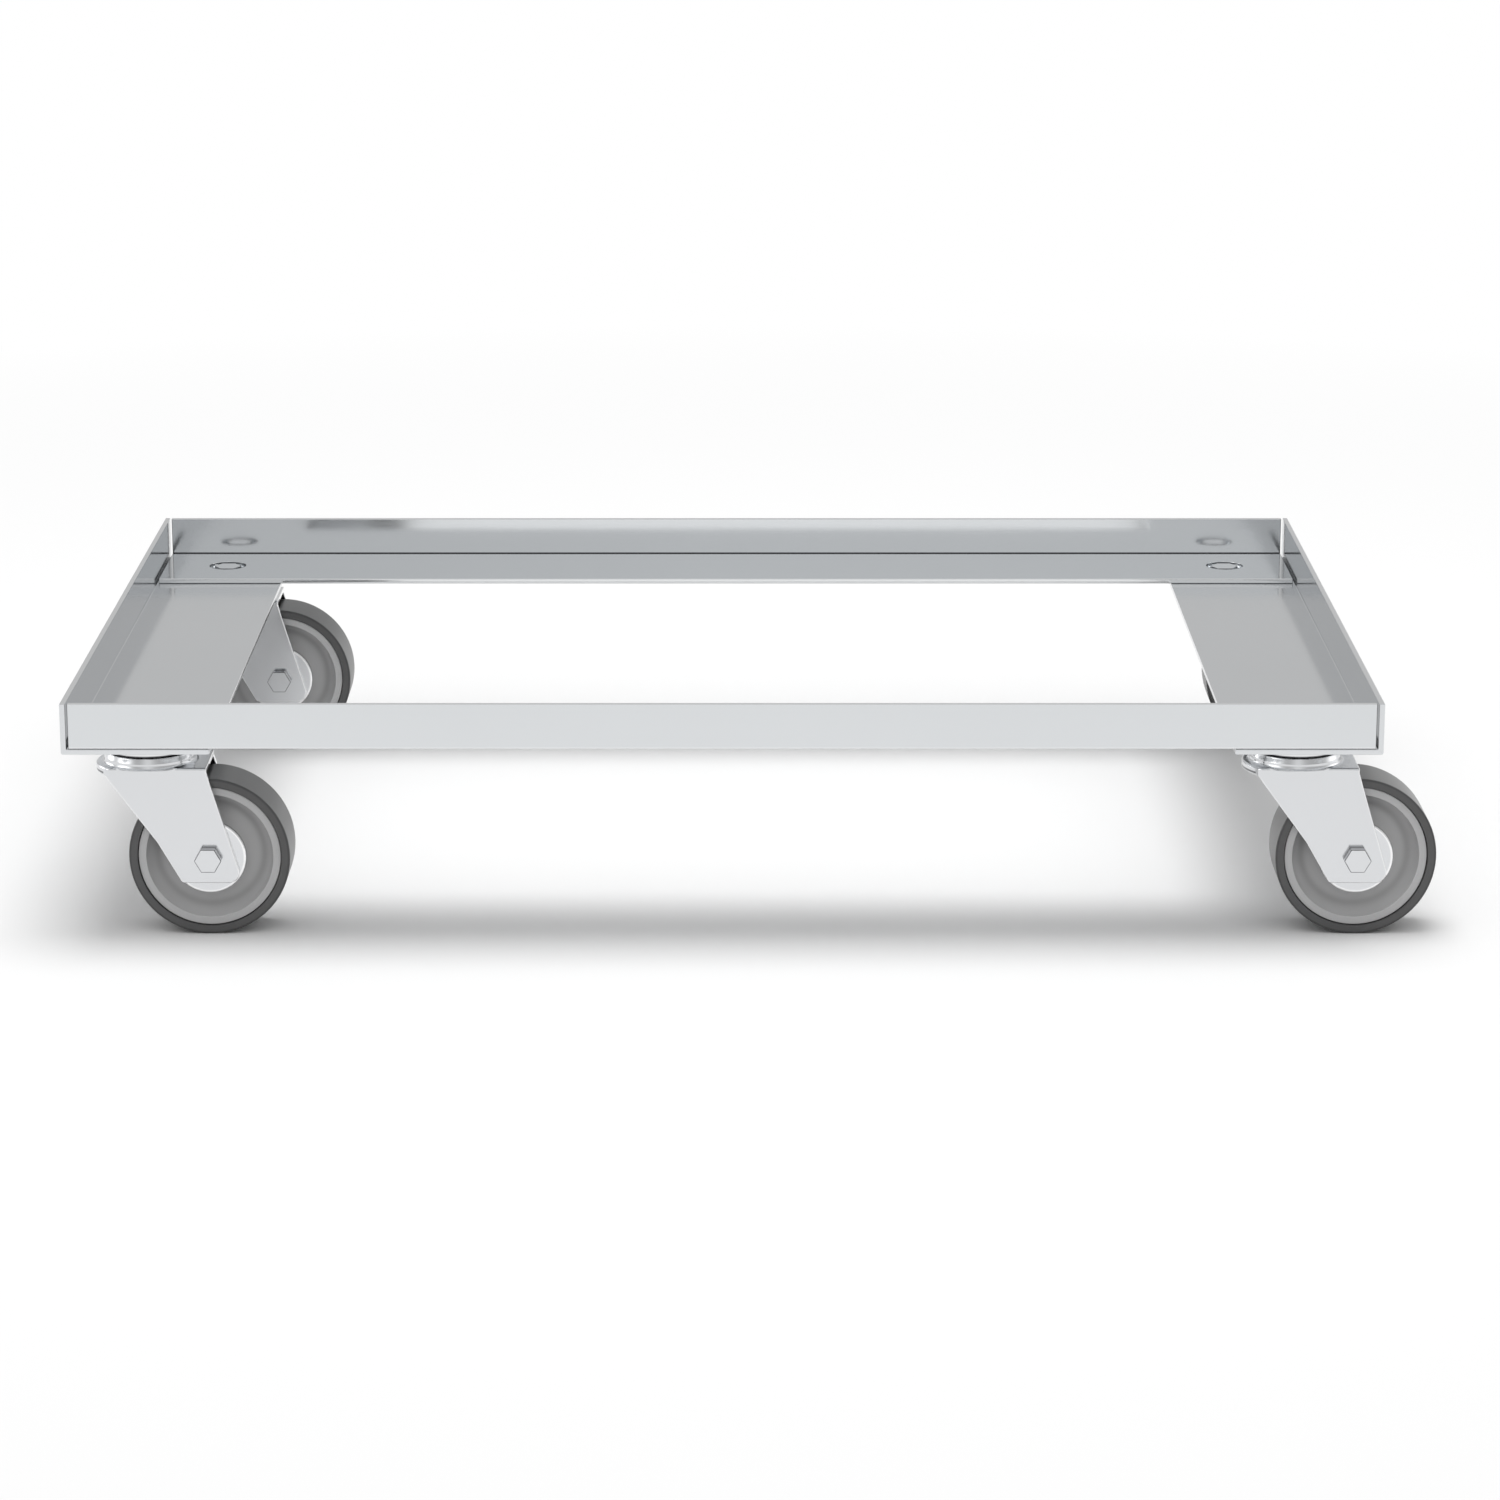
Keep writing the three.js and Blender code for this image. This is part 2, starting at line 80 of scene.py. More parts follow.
class Axis(Enum):
    """Axis that an outline is turned about."""

    Y = "y"
    Z = "z"


class End(Enum):
    """End of the dolly, with its sign along Y."""

    FRONT = -1
    REAR = 1


class Side(Enum):
    """Side of the dolly, with its sign along X."""

    LEFT = -1
    RIGHT = 1


class Body(Enum):
    """What a piece moves with: the frame, or the fork or the wheel of its caster."""

    FRAME = "base_frame"
    FORK = "swivel_fork"
    WHEEL = "wheel"


@dataclass(frozen=True)
class Layout:
    """Driving dimensions that the frame and the casters share.

    The middle is the frame's place along X, and the swivel axes stand at swivel_x and swivel_y on
    both sides of it. Trail is how far an axle stands behind its swivel axis. The race is the
    circle of the ball centres. The under side of the frame, the crown of the forks, the axles and
    the races are heights above the floor.
    """

    middle: float = -14.45
    swivel_x: float = 266.9
    swivel_y: float = 170.9
    frame_sheet: float = 2.5
    under_frame: float = 91.5
    crown: float = 81.0
    fork_sheet: float = 2.5
    fork_half_width: float = 17.5
    trail: float = 28.0
    axle_height: float = 37.5
    race_radius: float = 15.5
    race_height: float = 86.9
    bolt_hole: float = 3.3


# Surfaces


@dataclass
class Skin:
    """A surface: its points in millimetres and its faces, four point numbers each.

    Its marks are a number for each point: above zero where a painted highlight lightens it, and
    below zero where painted shade darkens it.
    """

    points: np.ndarray
    faces: np.ndarray
    marks: np.ndarray | None = None

    @staticmethod
    def grid(points: np.ndarray, round_rows: bool = False, round_columns: bool = False) -> "Skin":
        """Faces between the neighbours of a grid of points.

        Args:
            points: Rows by columns by three.
            round_rows: Whether the last row joins the first.
            round_columns: Whether the last column joins the first.

        Returns:
            The surface.
        """
        rows, columns = points.shape[:2]
        index = np.arange(rows * columns).reshape(rows, columns)
        if round_rows:
            index = np.vstack([index, index[:1]])
        if round_columns:
            index = np.hstack([index, index[:, :1]])
        corners = [index[:-1, :-1], index[:-1, 1:], index[1:, 1:], index[1:, :-1]]
        return Skin(points.reshape(-1, 3), np.stack(corners, -1).reshape(-1, 4))

    @staticmethod
    def joined(skins: Iterable["Skin"]) -> "Skin":
        """Several surfaces as one.

        Args:
            skins: The surfaces.

        Returns:
            One surface that holds them all.
        """
        parts = list(skins)
        counts = [len(part.points) for part in parts]
        starts = np.cumsum([0, *counts[:-1]])
        points = np.vstack([part.points for part in parts])
        faces = np.vstack([part.faces + start for part, start in zip(parts, starts)])
        marks = [np.zeros(n) if part.marks is None else part.marks for part, n in zip(parts, counts)]
        return Skin(points, faces, np.concatenate(marks))

    def volume(self) -> float:
        """Signed volume: a sixth of the sum of the triple products of the face triangles.

        Returns:
            Cubic millimetres, above zero where the faces look outwards.
        """
        a, b, c, d = (self.points[self.faces[:, i]] for i in range(4))
        first = np.einsum("ij,ij->i", a, np.cross(b, c))
        second = np.einsum("ij,ij->i", a, np.cross(c, d))
        return float((first + second).sum()) / 6

    def flipped(self) -> "Skin":
        """The surface with its faces turned over."""
        return Skin(self.points, self.faces[:, ::-1], self.marks)

    def outward(self) -> "Skin":
        """The surface with its faces turned outwards."""
        return self if self.volume() > 0 else self.flipped()

    def facing(self, face: int, way: Sequence[float]) -> "Skin":
        """The surface, turned over if one of its faces looks against a way.

        A face looks along the cross product of two of its sides.

        Args:
            face: Number of the face.
            way: The way that it should look.

        Returns:
            The surface.
        """
        corner = self.points[self.faces[face]]
        looks = np.cross(corner[1] - corner[0], corner[2] - corner[0])
        return self if looks @ np.array(way, float) > 0 else self.flipped()

    def moved(self, x: float = 0, y: float = 0, z: float = 0) -> "Skin":
        """The surface moved by that much."""
        return Skin(self.points + np.array([x, y, z], float), self.faces, self.marks)

    def marked(self, rule: Callable[[np.ndarray], np.ndarray]) -> "Skin":
        """The surface with marks from a rule on its points."""
        return Skin(self.points, self.faces, rule(self.points))

    def mirrored_in_y(self) -> "Skin":
        """The surface mirrored front to back, with its faces still outwards."""
        return Skin(self.points * np.array([1.0, -1.0, 1.0]), self.faces, self.marks).flipped()


@dataclass(frozen=True)
class Corner:
    """One corner of an outline, with the radius that rounds it."""

    across: float
    up: float
    radius: float = 0.0


def arc(centre: Sequence[float], radius: float, start: float, end: float, steps: int) -> np.ndarray:
    """Points of an arc: the centre plus the radius times the cosine and sine of the angle.

    Args:
        centre: Its centre.
        radius: Its radius.
        start: First angle in degrees.
        end: Last angle in degrees.
        steps: Steps between them.

    Returns:
        Points by two.
    """
    angle = np.radians(np.linspace(start, end, steps + 1))
    return np.array(centre) + radius * np.stack([np.cos(angle), np.sin(angle)], -1)


def curve(*points: Sequence[float], steps: int = 12) -> np.ndarray:
    """Points of a curve from the first point to the last, drawn towards those between.

    At a share s of the way, point k counts as n over k, times s to the power k, times 1 - s to
    the power n - k, where n is the number of the last point.

    Args:
        points: Two ends, with the points that draw the curve between them.
        steps: Steps along the curve.

    Returns:
        Points by two, without the first end.
    """
    share = np.linspace(0, 1, steps + 1)[1:, None]
    n = len(points) - 1
    weights = [math.comb(n, k) * share ** k * (1 - share) ** (n - k) for k in range(n + 1)]
    return sum(weight * np.array(point, float) for weight, point in zip(weights, points))


def rounded_outline(corners: Sequence[Corner], closed: bool, steps: int) -> np.ndarray:
    """Points along an outline with rounded corners.

    Each corner is replaced by an arc whose centre lies on the bisector, at radius over the sine
    of the half angle, and which meets both sides at radius over its tangent. An arc takes less
    than half of a side. Two points near the ends of each straight keep the shading of flat faces
    flat.

    Args:
        corners: The corners in order.
        closed: Whether the last corner joins the first.
        steps: Steps in each arc.

    Returns:
        Points by two.
    """
    largest_share = 0.49
    spots = np.array([[c.across, c.up] for c in corners], float)
    radii = np.array([c.radius for c in corners], float)
    back = np.roll(spots, 1, axis=0) - spots
    ahead = np.roll(spots, -1, axis=0) - spots
    back_length = np.linalg.norm(back, axis=1)
    ahead_length = np.linalg.norm(ahead, axis=1)
    back /= back_length[:, None]
    ahead /= ahead_length[:, None]
    half = np.arccos(np.clip((back * ahead).sum(1), -1, 1)) / 2
    tangent = np.maximum(np.tan(half), TINY)
    cut = np.minimum(radii / tangent, largest_share * np.minimum(back_length, ahead_length))
    radii = cut * tangent
    middle = back + ahead
    middle /= np.maximum(np.linalg.norm(middle, axis=1), TINY)[:, None]
    centre = spots + middle * (radii / np.maximum(np.sin(half), TINY))[:, None]
    start = spots + back * cut[:, None]
    end = spots + ahead * cut[:, None]
    first = np.arctan2(*(start - centre).T[::-1])
    last = np.arctan2(*(end - centre).T[::-1])
    sweep = (last - first + np.pi) % (2 * np.pi) - np.pi
    angle = first[:, None] + sweep[:, None] * np.linspace(0, 1, steps + 1)
    bend = centre[:, None] + radii[:, None, None] * np.stack([np.cos(angle), np.sin(angle)], -1)
    bend = np.where((radii > TINY)[:, None, None], bend, spots[:, None])
    following = np.roll(start, -1, axis=0)
    straight = following - end
    length = np.maximum(np.linalg.norm(straight, axis=1), TINY)[:, None]
    margin = np.minimum(SUPPORT, length / 3) * straight / length
    supports = np.stack([end + margin, following - margin], 1)
    points = np.concatenate([bend, supports], 1).reshape(-1, 2)
    return points if closed else points[:-2]


def shaped_round(section: np.ndarray, angle: np.ndarray, axis: Axis, closed: bool) -> Skin:
    """A section carried round an axis, which may differ at each angle.

    A point is radius times the cosine and the sine of the angle across the axis, and height
    along it.

    Args:
        section: Rows by angles, each radius and height.
        angle: The angles.
        axis: The axis.
        closed: Whether the rows close on themselves, or else run from axis to axis.

    Returns:
        A closed surface.
    """
    radius, height = section[..., 0], section[..., 1]
    one, two = radius * np.cos(angle), radius * np.sin(angle)
    order = (one, height, two) if axis is Axis.Y else (one, two, height)
    return Skin.grid(np.stack(order, -1), closed, True).outward()


def turned(outline: np.ndarray, axis: Axis, sides: int, closed: bool = True) -> Skin:
    """An outline of radius and height carried round an axis.

    Args:
        outline: Points by two.
        axis: The axis.
        sides: Steps round it.
        closed: Whether the outline closes on itself, or else runs from axis to axis.

    Returns:
        A closed surface.
    """
    angle = np.linspace(0, 2 * np.pi, sides, endpoint=False)
    return shaped_round(np.repeat(outline[:, None], sides, axis=1), angle, axis, closed)


def ring(corners: Sequence[Corner], axis: Axis, sides: int, steps: int) -> Skin:
    """A closed outline with rounded corners carried round an axis."""
    return turned(rounded_outline(corners, True, steps), axis, sides)


def tube(inner: Corner, outer: Corner, axis: Axis, sides: int, steps: int) -> Skin:
    """A ring of rectangular section.

    Args:
        inner: The inner corner at the lower end, with the radius of both inner corners.
        outer: The outer corner at the upper end, with the radius of both outer corners.
        axis: The axis.
        sides: Steps round it.
        steps: Steps in each rounded corner.

    Returns:
        A closed surface.
    """
    low = Corner(outer.across, inner.up, outer.radius)
    high = Corner(inner.across, outer.up, inner.radius)
    return ring([inner, low, outer, high], axis, sides, steps)


# Meshes


def linked(name: str, data: bpy.types.ID) -> bpy.types.Object:
    """A new object in the scene.

    Args:
        name: Its name.
        data: Its mesh, lamp or camera.

    Returns:
        The object.
    """
    made = bpy.data.objects.new(name, data)
    bpy.context.scene.collection.objects.link(made)
    return made


def make_object(name: str, skin: Skin, smooth: float = 35.0, weld: bool = True) -> bpy.types.Object:
    """A mesh object at the origin from a surface in millimetres.

    Args:
        name: Its name.
        skin: The surface.
        smooth: Angle in degrees past which an edge shows as sharp.
        weld: Whether points that fall together are merged.

    Returns:
        The object, linked to the scene.
    """
    mesh = bpy.data.meshes.new(name)
    mesh.vertices.add(len(skin.points))
    mesh.vertices.foreach_set("co", (skin.points * METRES).astype(np.float32).ravel())
    mesh.loops.add(skin.faces.size)
    mesh.loops.foreach_set("vertex_index", skin.faces.astype(np.int32).ravel())
    mesh.polygons.add(len(skin.faces))
    mesh.polygons.foreach_set("loop_start", np.arange(0, skin.faces.size, 4, dtype=np.int32))
    mesh.update(calc_edges=True)
    if skin.marks is not None:
        layer = mesh.attributes.new(MARKS, "FLOAT", "POINT")
        layer.data.foreach_set("value", skin.marks.astype(np.float32))
    if weld:
        shell = bmesh.new()
        shell.from_mesh(mesh)
        bmesh.ops.remove_doubles(shell, verts=shell.verts, dist=WELD_METRES)
        shell.to_mesh(mesh)
        shell.free()
    mesh.shade_smooth()
    mesh.set_sharp_from_angle(angle=math.radians(smooth))
    return linked(name, mesh)


def copy_at(source: bpy.types.Object, name: str, place: Sequence[float]) -> bpy.types.Object:
    """A copy of a piece with its place, in millimetres, in its mesh.

    Args:
        source: The piece to copy.
        name: The copy's name.
        place: How far the copy stands from the piece along X, Y and Z.

    Returns:
        The copy, linked to the scene.
    """
    mesh = source.data.copy()
    mesh.name = name
    spots = np.empty(len(mesh.vertices) * 3, np.float32)
    mesh.vertices.foreach_get("co", spots)
    moved = spots.reshape(-1, 3) + np.array(place) * METRES
    mesh.vertices.foreach_set("co", moved.astype(np.float32).ravel())
    mesh.update()
    return linked(name, mesh)


# Shader tools


class Socket:
    """A shader value that takes part in arithmetic and adds its own Math nodes."""

    def __init__(self, tree: "Tree", output: bpy.types.NodeSocket) -> None:
        """Keeps the tree and the socket."""
        self.tree = tree
        self.output = output

    def _maths(self, operation: str, left: "Socket | float", right: "Socket | float") -> "Socket":
        """The result of one Math node."""
        inputs = {0: left, 1: right}
        return self.tree.make("ShaderNodeMath", {"operation": operation}, inputs).out(0)

    def __add__(self, other: "Socket | float") -> "Socket":
        """Sum."""
        return self._maths("ADD", self, other)

    __radd__ = __add__

    def __mul__(self, other: "Socket | float") -> "Socket":
        """Product."""
        return self._maths("MULTIPLY", self, other)

    __rmul__ = __mul__

    def __sub__(self, other: "Socket | float") -> "Socket":
        """Difference."""
        return self._maths("SUBTRACT", self, other)

    def __rsub__(self, other: float) -> "Socket":
        """Difference from a number."""
        return self._maths("SUBTRACT", other, self)

    def __pow__(self, other: "Socket | float") -> "Socket":
        """Power."""
        return self._maths("POWER", self, other)

    def most(self, other: "Socket | float") -> "Socket":
        """The larger of two."""
        return self._maths("MAXIMUM", self, other)

    def least(self, other: "Socket | float") -> "Socket":
        """The smaller of two."""
        return self._maths("MINIMUM", self, other)


class Made:
    """A node that was added to a tree."""

    def __init__(self, tree: "Tree", node: bpy.types.Node) -> None:
        """Keeps the tree and the node."""
        self.tree = tree
        self.node = node

    def out(self, name: "str | int") -> Socket:
        """One of the node's outputs, by name or number."""
        return Socket(self.tree, self.node.outputs[name])


class Tree:
    """A node tree and the one method that adds nodes to it."""

    def __init__(self, tree: bpy.types.NodeTree) -> None:
        """Empties the tree and keeps it."""
        tree.nodes.clear()
        self.tree = tree

    def make(self, kind: str, settings: dict | None = None, inputs: dict | None = None) -> Made:
        """Adds a node.

        Args:
            kind: The node's type.
            settings: Attributes, set before the sockets.
            inputs: Values or links of its sockets, by name or number.

        Returns:
            The node.
        """
        node = self.tree.nodes.new(kind)
        for name, value in (settings or {}).items():
            setattr(node, name, value)
        for name, value in (inputs or {}).items():
            if isinstance(value, Socket):
                self.tree.links.new(value.output, node.inputs[name])
            else:
                node.inputs[name].default_value = value
        return Made(self, node)

    def mix(self, share: Socket, low: "Socket | Triple", high: Triple) -> Socket:
        """A colour between two.

        Args:
            share: How far it lies from the low one to the high one.
            low: A varying or a fixed colour.
            high: A fixed colour.

        Returns:
            The colour.
        """
        start = low if isinstance(low, Socket) else (*low, 1.0)
        inputs = {0: share, 6: start, 7: (*high, 1.0)}
        return self.make("ShaderNodeMix", {"data_type": "RGBA"}, inputs).out(2)

    def noise(self, stretch: Triple, scale: float, detail: float) -> Socket:
        """Noise on object coordinates.

        Args:
            stretch: Factor on each axis, small where the pattern runs long.
            scale: How fine it is.
            detail: Octaves of finer noise on it.

        Returns:
            The noise, from 0 to 1.
        """
        spot = self.make("ShaderNodeTexCoord").out("Object")
        spot = self.make("ShaderNodeMapping", {}, {"Vector": spot, "Scale": stretch}).out(0)
        inputs = {"Vector": spot, "Scale": scale, "Detail": detail}
        return self.make("ShaderNodeTexNoise", {}, inputs).out(0)

    def marked(self, colour: Socket, painted_highlight: Triple, painted_shade: Triple) -> Socket:
        """A colour drawn towards a painted highlight or painted shade where a piece is marked.

        Args:
            colour: The colour.
            painted_highlight: The painted highlight that it nears where the marks are above zero.
            painted_shade: The painted shade that it nears where they are below zero.

        Returns:
            The colour with its marks.
        """
        marks = self.make("ShaderNodeAttribute", {"attribute_name": MARKS}).out("Fac")
        colour = self.mix(marks.most(0.0), colour, painted_highlight)
        return self.mix((0 - marks).most(0.0), colour, painted_shade)

    def bump(self, height: Socket, strength: float, distance: float) -> Socket:
        """A normal tilted by a height."""
        inputs = {"Height": height, "Strength": strength, "Distance": distance}
        return self.make("ShaderNodeBump", {}, inputs).out(0)


def new_material(name: str) -> tuple[bpy.types.Material, Tree]:
    """A new node material.

    Args:
        name: Its name.

    Returns:
        The material and its empty tree.
    """
    made = bpy.data.materials.new(name)
    made.use_nodes = True
    return made, Tree(made.node_tree)


def shade(colour: Triple, factor: float) -> Triple:
    """A colour made lighter or darker by a factor."""
    return tuple(part * factor for part in colour)


# Finishes


@dataclass(frozen=True)
class Finish:
    """A finish: slot, colour and roughness, and its painted highlight and shade colours."""

    name: str
    slot: Slot
    colour: Triple
    roughness: float
    # Values five and six: the painted highlight and painted shade that marks draw towards.
    painted_highlight: Triple
    painted_shade: Triple

    def inputs(self, tree: Tree) -> dict:
        """The inputs of the surface shader."""
        raise NotImplementedError

    def patched(self, tree: Tree, patches: Socket, contrast: float) -> Socket:
        """The colour, with lighter and darker patches and with its painted highlights and shade.

        Args:
            tree: The node tree.
            patches: Noise that lays out the patches.
            contrast: How far they go from the colour, as a share of it.

        Returns:
            The colour.
        """
        low, high = shade(self.colour, 1 - contrast), shade(self.colour, 1 + contrast)
        return tree.marked(tree.mix(patches, low, high), self.painted_highlight, self.painted_shade)

    def material(self) -> bpy.types.Material:
        """The node material of this finish.

        Returns:
            A new material.
        """
        made, tree = new_material(self.name)
        surface = tree.make("ShaderNodeBsdfPrincipled", {}, self.inputs(tree)).out(0)
        tree.make("ShaderNodeOutputMaterial", {}, {"Surface": surface})
        return made


@dataclass(frozen=True)
class MetalFinish(Finish):
    """Bare or plated sheet and steel: rolled streaks, soft patches and a fine grain.

    Slant tints what the metal mirrors at a grazing angle, and streak stretches the streaks.
    """

    # Painted highlight and painted shade colours that the marks draw towards.
    painted_highlight: Triple = (0.97, 0.97, 0.97)
    painted_shade: Triple = (0.06, 0.06, 0.065)
    slant: Triple = EVEN
    streak: Triple = EVEN
    streak_scale: float = 900.0
    streak_depth: float = 0.06
    patch_scale: float = 14.0
    patch_depth: float = 0.03
    patch_contrast: float = 0.02
    noise_detail: float = 3.0
    grain_strength: float = 0.35
    grain_height: float = 0.000004

    def inputs(self, tree: Tree) -> dict:
        """The inputs of the surface shader.

        Args:
            tree: The node tree.

        Returns:
            Values and links by socket name.
        """
        streaks = tree.noise(self.streak, self.streak_scale, self.noise_detail)
        patches = tree.noise(EVEN, self.patch_scale, self.noise_detail)
        rough = streaks * self.streak_depth + patches * self.patch_depth
        return {
            "Base Color": self.patched(tree, patches, self.patch_contrast),
            "Metallic": 1.0,
            "Specular Tint": (*self.slant, 1.0),
            "Roughness": rough + (self.roughness - self.streak_depth / 2 - self.patch_depth / 2),
            "Normal": tree.bump(streaks, self.grain_strength, self.grain_height),
        }


@dataclass(frozen=True)
class MouldedFinish(Finish):
    """Moulded plastic or rubber: a matt skin with fine grain and soft colour patches."""

    # Painted highlight and painted shade colours that the marks draw towards.
    painted_highlight: Triple = (0.6, 0.6, 0.6)
    painted_shade: Triple = (0.03, 0.03, 0.03)
    grain_scale: float = 1400.0
    grain_detail: float = 2.0
    grain_strength: float = 0.4
    grain_height: float = 0.00002
    patch_scale: float = 30.0
    patch_detail: float = 4.0
    patch_depth: float = 0.1
    patch_contrast: float = 0.05

    def inputs(self, tree: Tree) -> dict:
        """The inputs of the surface shader.

        Args:
            tree: The node tree.

        Returns:
            Values and links by socket name.
        """
        grain = tree.noise(EVEN, self.grain_scale, self.grain_detail)
        patches = tree.noise(EVEN, self.patch_scale, self.patch_detail)
        return {
            "Base Color": self.patched(tree, patches, self.patch_contrast),
            "Roughness": patches * self.patch_depth + (self.roughness - self.patch_depth / 2),
            "Normal": tree.bump(grain, self.grain_strength, self.grain_height),
        }


@dataclass
class Finishes:
    """Every finish of the dolly, each made a material once."""

    made: dict[str, bpy.types.Material] = field(default_factory=dict)

    # SLANT dims what the sheet mirrors at a grazing angle, and the other two stretch its streaks.
    SLANT = (0.9, 0.9, 0.9)
    ALONG_X = (0.02, 1, 1)
    ALONG_Y = (1, 0.02, 1)
    RAIL = MetalFinish(
        "rolled_sheet_x", Slot.SHEET, (0.685, 0.703, 0.717), 0.12, slant=SLANT, streak=ALONG_X
    )
    SIDE = MetalFinish(
        "rolled_sheet_y", Slot.SHEET, (0.685, 0.70, 0.715), 0.12, slant=SLANT, streak=ALONG_Y
    )
    ZINC = MetalFinish("zinc_plate", Slot.ZINC, (0.69, 0.70, 0.715), 0.13, streak_depth=0.04)
    BRIGHT = MetalFinish("bright_plate", Slot.BRIGHT, (0.76, 0.77, 0.78), 0.07, streak_depth=0.03)
    PLASTIC = MouldedFinish("grey_plastic", Slot.PLASTIC, (0.59, 0.59, 0.593), 0.42)
    # The rubber's fifth value is the painted sheen that its tread marks draw towards.
    RUBBER = MouldedFinish("grey_rubber", Slot.RUBBER, (0.1, 0.1, 0.101), 0.34, (0.17, 0.17, 0.17))

    def dress(self, piece: bpy.types.Object, finish: Finish, body: str, node: str) -> None:
        """Gives a piece its finish, its body and the node that it stands for.

        Args:
            piece: The piece.
            finish: Its finish.
            body: The body that it rides on.
            node: The node that it replaces.
        """
        if finish.name not in self.made:
            self.made[finish.name] = finish.material()
        piece.data.materials.clear()
        piece.data.materials.append(self.made[finish.name])
        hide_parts(node)
        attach(piece, body)
        LOG.info("%s: %d faces on %s", piece.name, len(piece.data.polygons), body)


# Sheet frame


@dataclass(frozen=True)
class Hole:
    """A round hole in a flange: its place along the bar and across the flange."""

    along: float
    across: float
    radius: float


@dataclass
class FoldedAngle:
    """A bar of sheet folded to an L, with round holes in its flange and eased edges.

    The holes are in order along the bar. Each has a patch of its own, which spans the flange and
    reaches patch_reach beyond the hole along the bar. The marks are painted light and shade on the
    cut ends, on the inside and the outside of the fold, on both tips, and on the lower edge of the
    flange's tip: a painted highlight above zero, painted shade below.
    """

    flange: float
    upright: float
    length: float
    sheet: float
    holes: Sequence[Hole]
    fold: float = 1.0
    inner_fold: float = 0.4
    edge: float = 0.3
    hole_edge: float = 0.2
    hole_margin: float = 0.1
    patch_reach: float = 6.0
    patch_share: float = 0.992
    flat_shares: Spot = (0.003, 0.997)
    rise_shares: Triple = (0.01, 0.5, 0.99)
    across_steps: int = 16
    arc_steps: int = 4
    hole_steps: int = 3
    # Painted shade on the ends and inner fold, painted highlights on the outer fold and the tips.
    end_shade_mark: float = 0.0
    fold_shade_mark: float = 0.0
    outer_highlight_mark: float = 0.6
    tip_highlight_mark: float = 0.3
    # The flange tip's lower edge: a painted highlight above zero, painted shade below.
    under_mark: float = 0.3

    def _lines(self) -> tuple[np.ndarray, np.ndarray]:
        """The outer and the inner line of the section, point for point beside each other.

        Both run from the tip of the flange, with its eased edge, over the flat of the flange and
        round the fold to the tip of the upright.

        Returns:
            Two arrays of points by two.
        """
        sheet, edge, steps = self.sheet, self.edge, self.arc_steps
        wide, tall = self.flange - edge, self.upright - edge
        inner = sheet + self.inner_fold
        flat_share = np.linspace(0, 1, self.across_steps + 1)[1:-1]
        flat_share[[0, -1]] = self.flat_shares
        rise_share = np.array(self.rise_shares)

        def flat(end: float, height: float) -> np.ndarray:
            """Points on the flat of the flange up to the fold, at a height."""
            return np.stack([wide + (end - wide) * flat_share, np.full_like(flat_share, height)], -1)

        def rise(start: float, across: float) -> np.ndarray:
            """Points up the upright from the fold, at a place across."""
            return np.stack([np.full_like(rise_share, across), start + (tall - start) * rise_share], -1)

        outer = np.vstack([
            arc((wide, edge), edge, 0, -90, steps),
            flat(self.fold, 0),
            arc((self.fold, self.fold), self.fold, 270, 180, steps),
            rise(self.fold, 0),
            arc((edge, tall), edge, 180, 90, steps),
        ])
        inside = np.vstack([
            arc((wide, sheet - edge), edge, 0, 90, steps),
            flat(inner, sheet),
            arc((inner, inner), self.inner_fold, 270, 180, steps),
            rise(inner, sheet),
            arc((sheet - edge, tall), edge, 0, 90, steps),
        ])
        return outer, inside

    def _stations(self) -> tuple[np.ndarray, np.ndarray, list[tuple[int, int]]]:
        """Places along the bar, how far the section shrinks there, and the span of each hole.

        Returns:
            The places, the shrinkage, and the first and last place number of each hole.
        """
        turn = np.radians(np.linspace(0, 90, self.arc_steps + 1))
        head = self.edge * (1 - np.cos(turn))
        shrink = self.edge * (1 - np.sin(turn))
        places = [head, [self.edge + SUPPORT]]
        spans = []
        count = len(head) + 1
        for hole in self.holes:
            reach = hole.radius + self.patch_reach
            places.append(np.linspace(hole.along - reach, hole.along + reach, self.across_steps + 1))
            spans.append((count, count + self.across_steps))
            count += self.across_steps + 1
        places += [[self.length - self.edge - SUPPORT], self.length - head[::-1]]
        along = np.concatenate(places)
        inset = np.zeros(len(along))
        inset[: len(head)] = shrink
        inset[-len(head):] = shrink[::-1]
        return along, inset, spans

    def _swept(self, section: np.ndarray, along: np.ndarray, inset: np.ndarray) -> np.ndarray:
        """The section at each place, drawn in along its normals by the inset there.

        Args:
            section: Points by two.
            along: Places along the bar.
            inset: The inset at each place.

        Returns:
            Places by points by three.
        """
        tangent = np.roll(section, -1, axis=0) - np.roll(section, 1, axis=0)
        tangent /= np.linalg.norm(tangent, axis=1)[:, None]
        inward = np.stack([tangent[:, 1], -tangent[:, 0]], -1)
        spots = section + inward * inset[:, None, None]
        place = np.repeat(along[:, None], len(section), axis=1)
        return np.concatenate([place[..., None], spots], -1)

    def _marks(self, half: int) -> np.ndarray:
        """Marks round the section: painted highlights and painted shade.

        Args:
            half: Number of points on the outer line, and on the inner one.

        Returns:
            One mark for each point of the section.
        """
        row = np.zeros(2 * half)
        fold = np.arange(1, self.arc_steps) + self.arc_steps + self.across_steps
        tip = np.arange(self.arc_steps)
        # Painted highlight on the outer fold and the tips, painted shade in the inner fold.
        row[fold] = self.outer_highlight_mark
        for spot in (tip, tip - self.arc_steps, half - 1 - tip, half + tip):
            row[spot] = self.tip_highlight_mark
        row[tip[1:]] = self.under_mark
        row[-1 - np.append(fold, fold[-1] + 1)] = self.fold_shade_mark
        return row

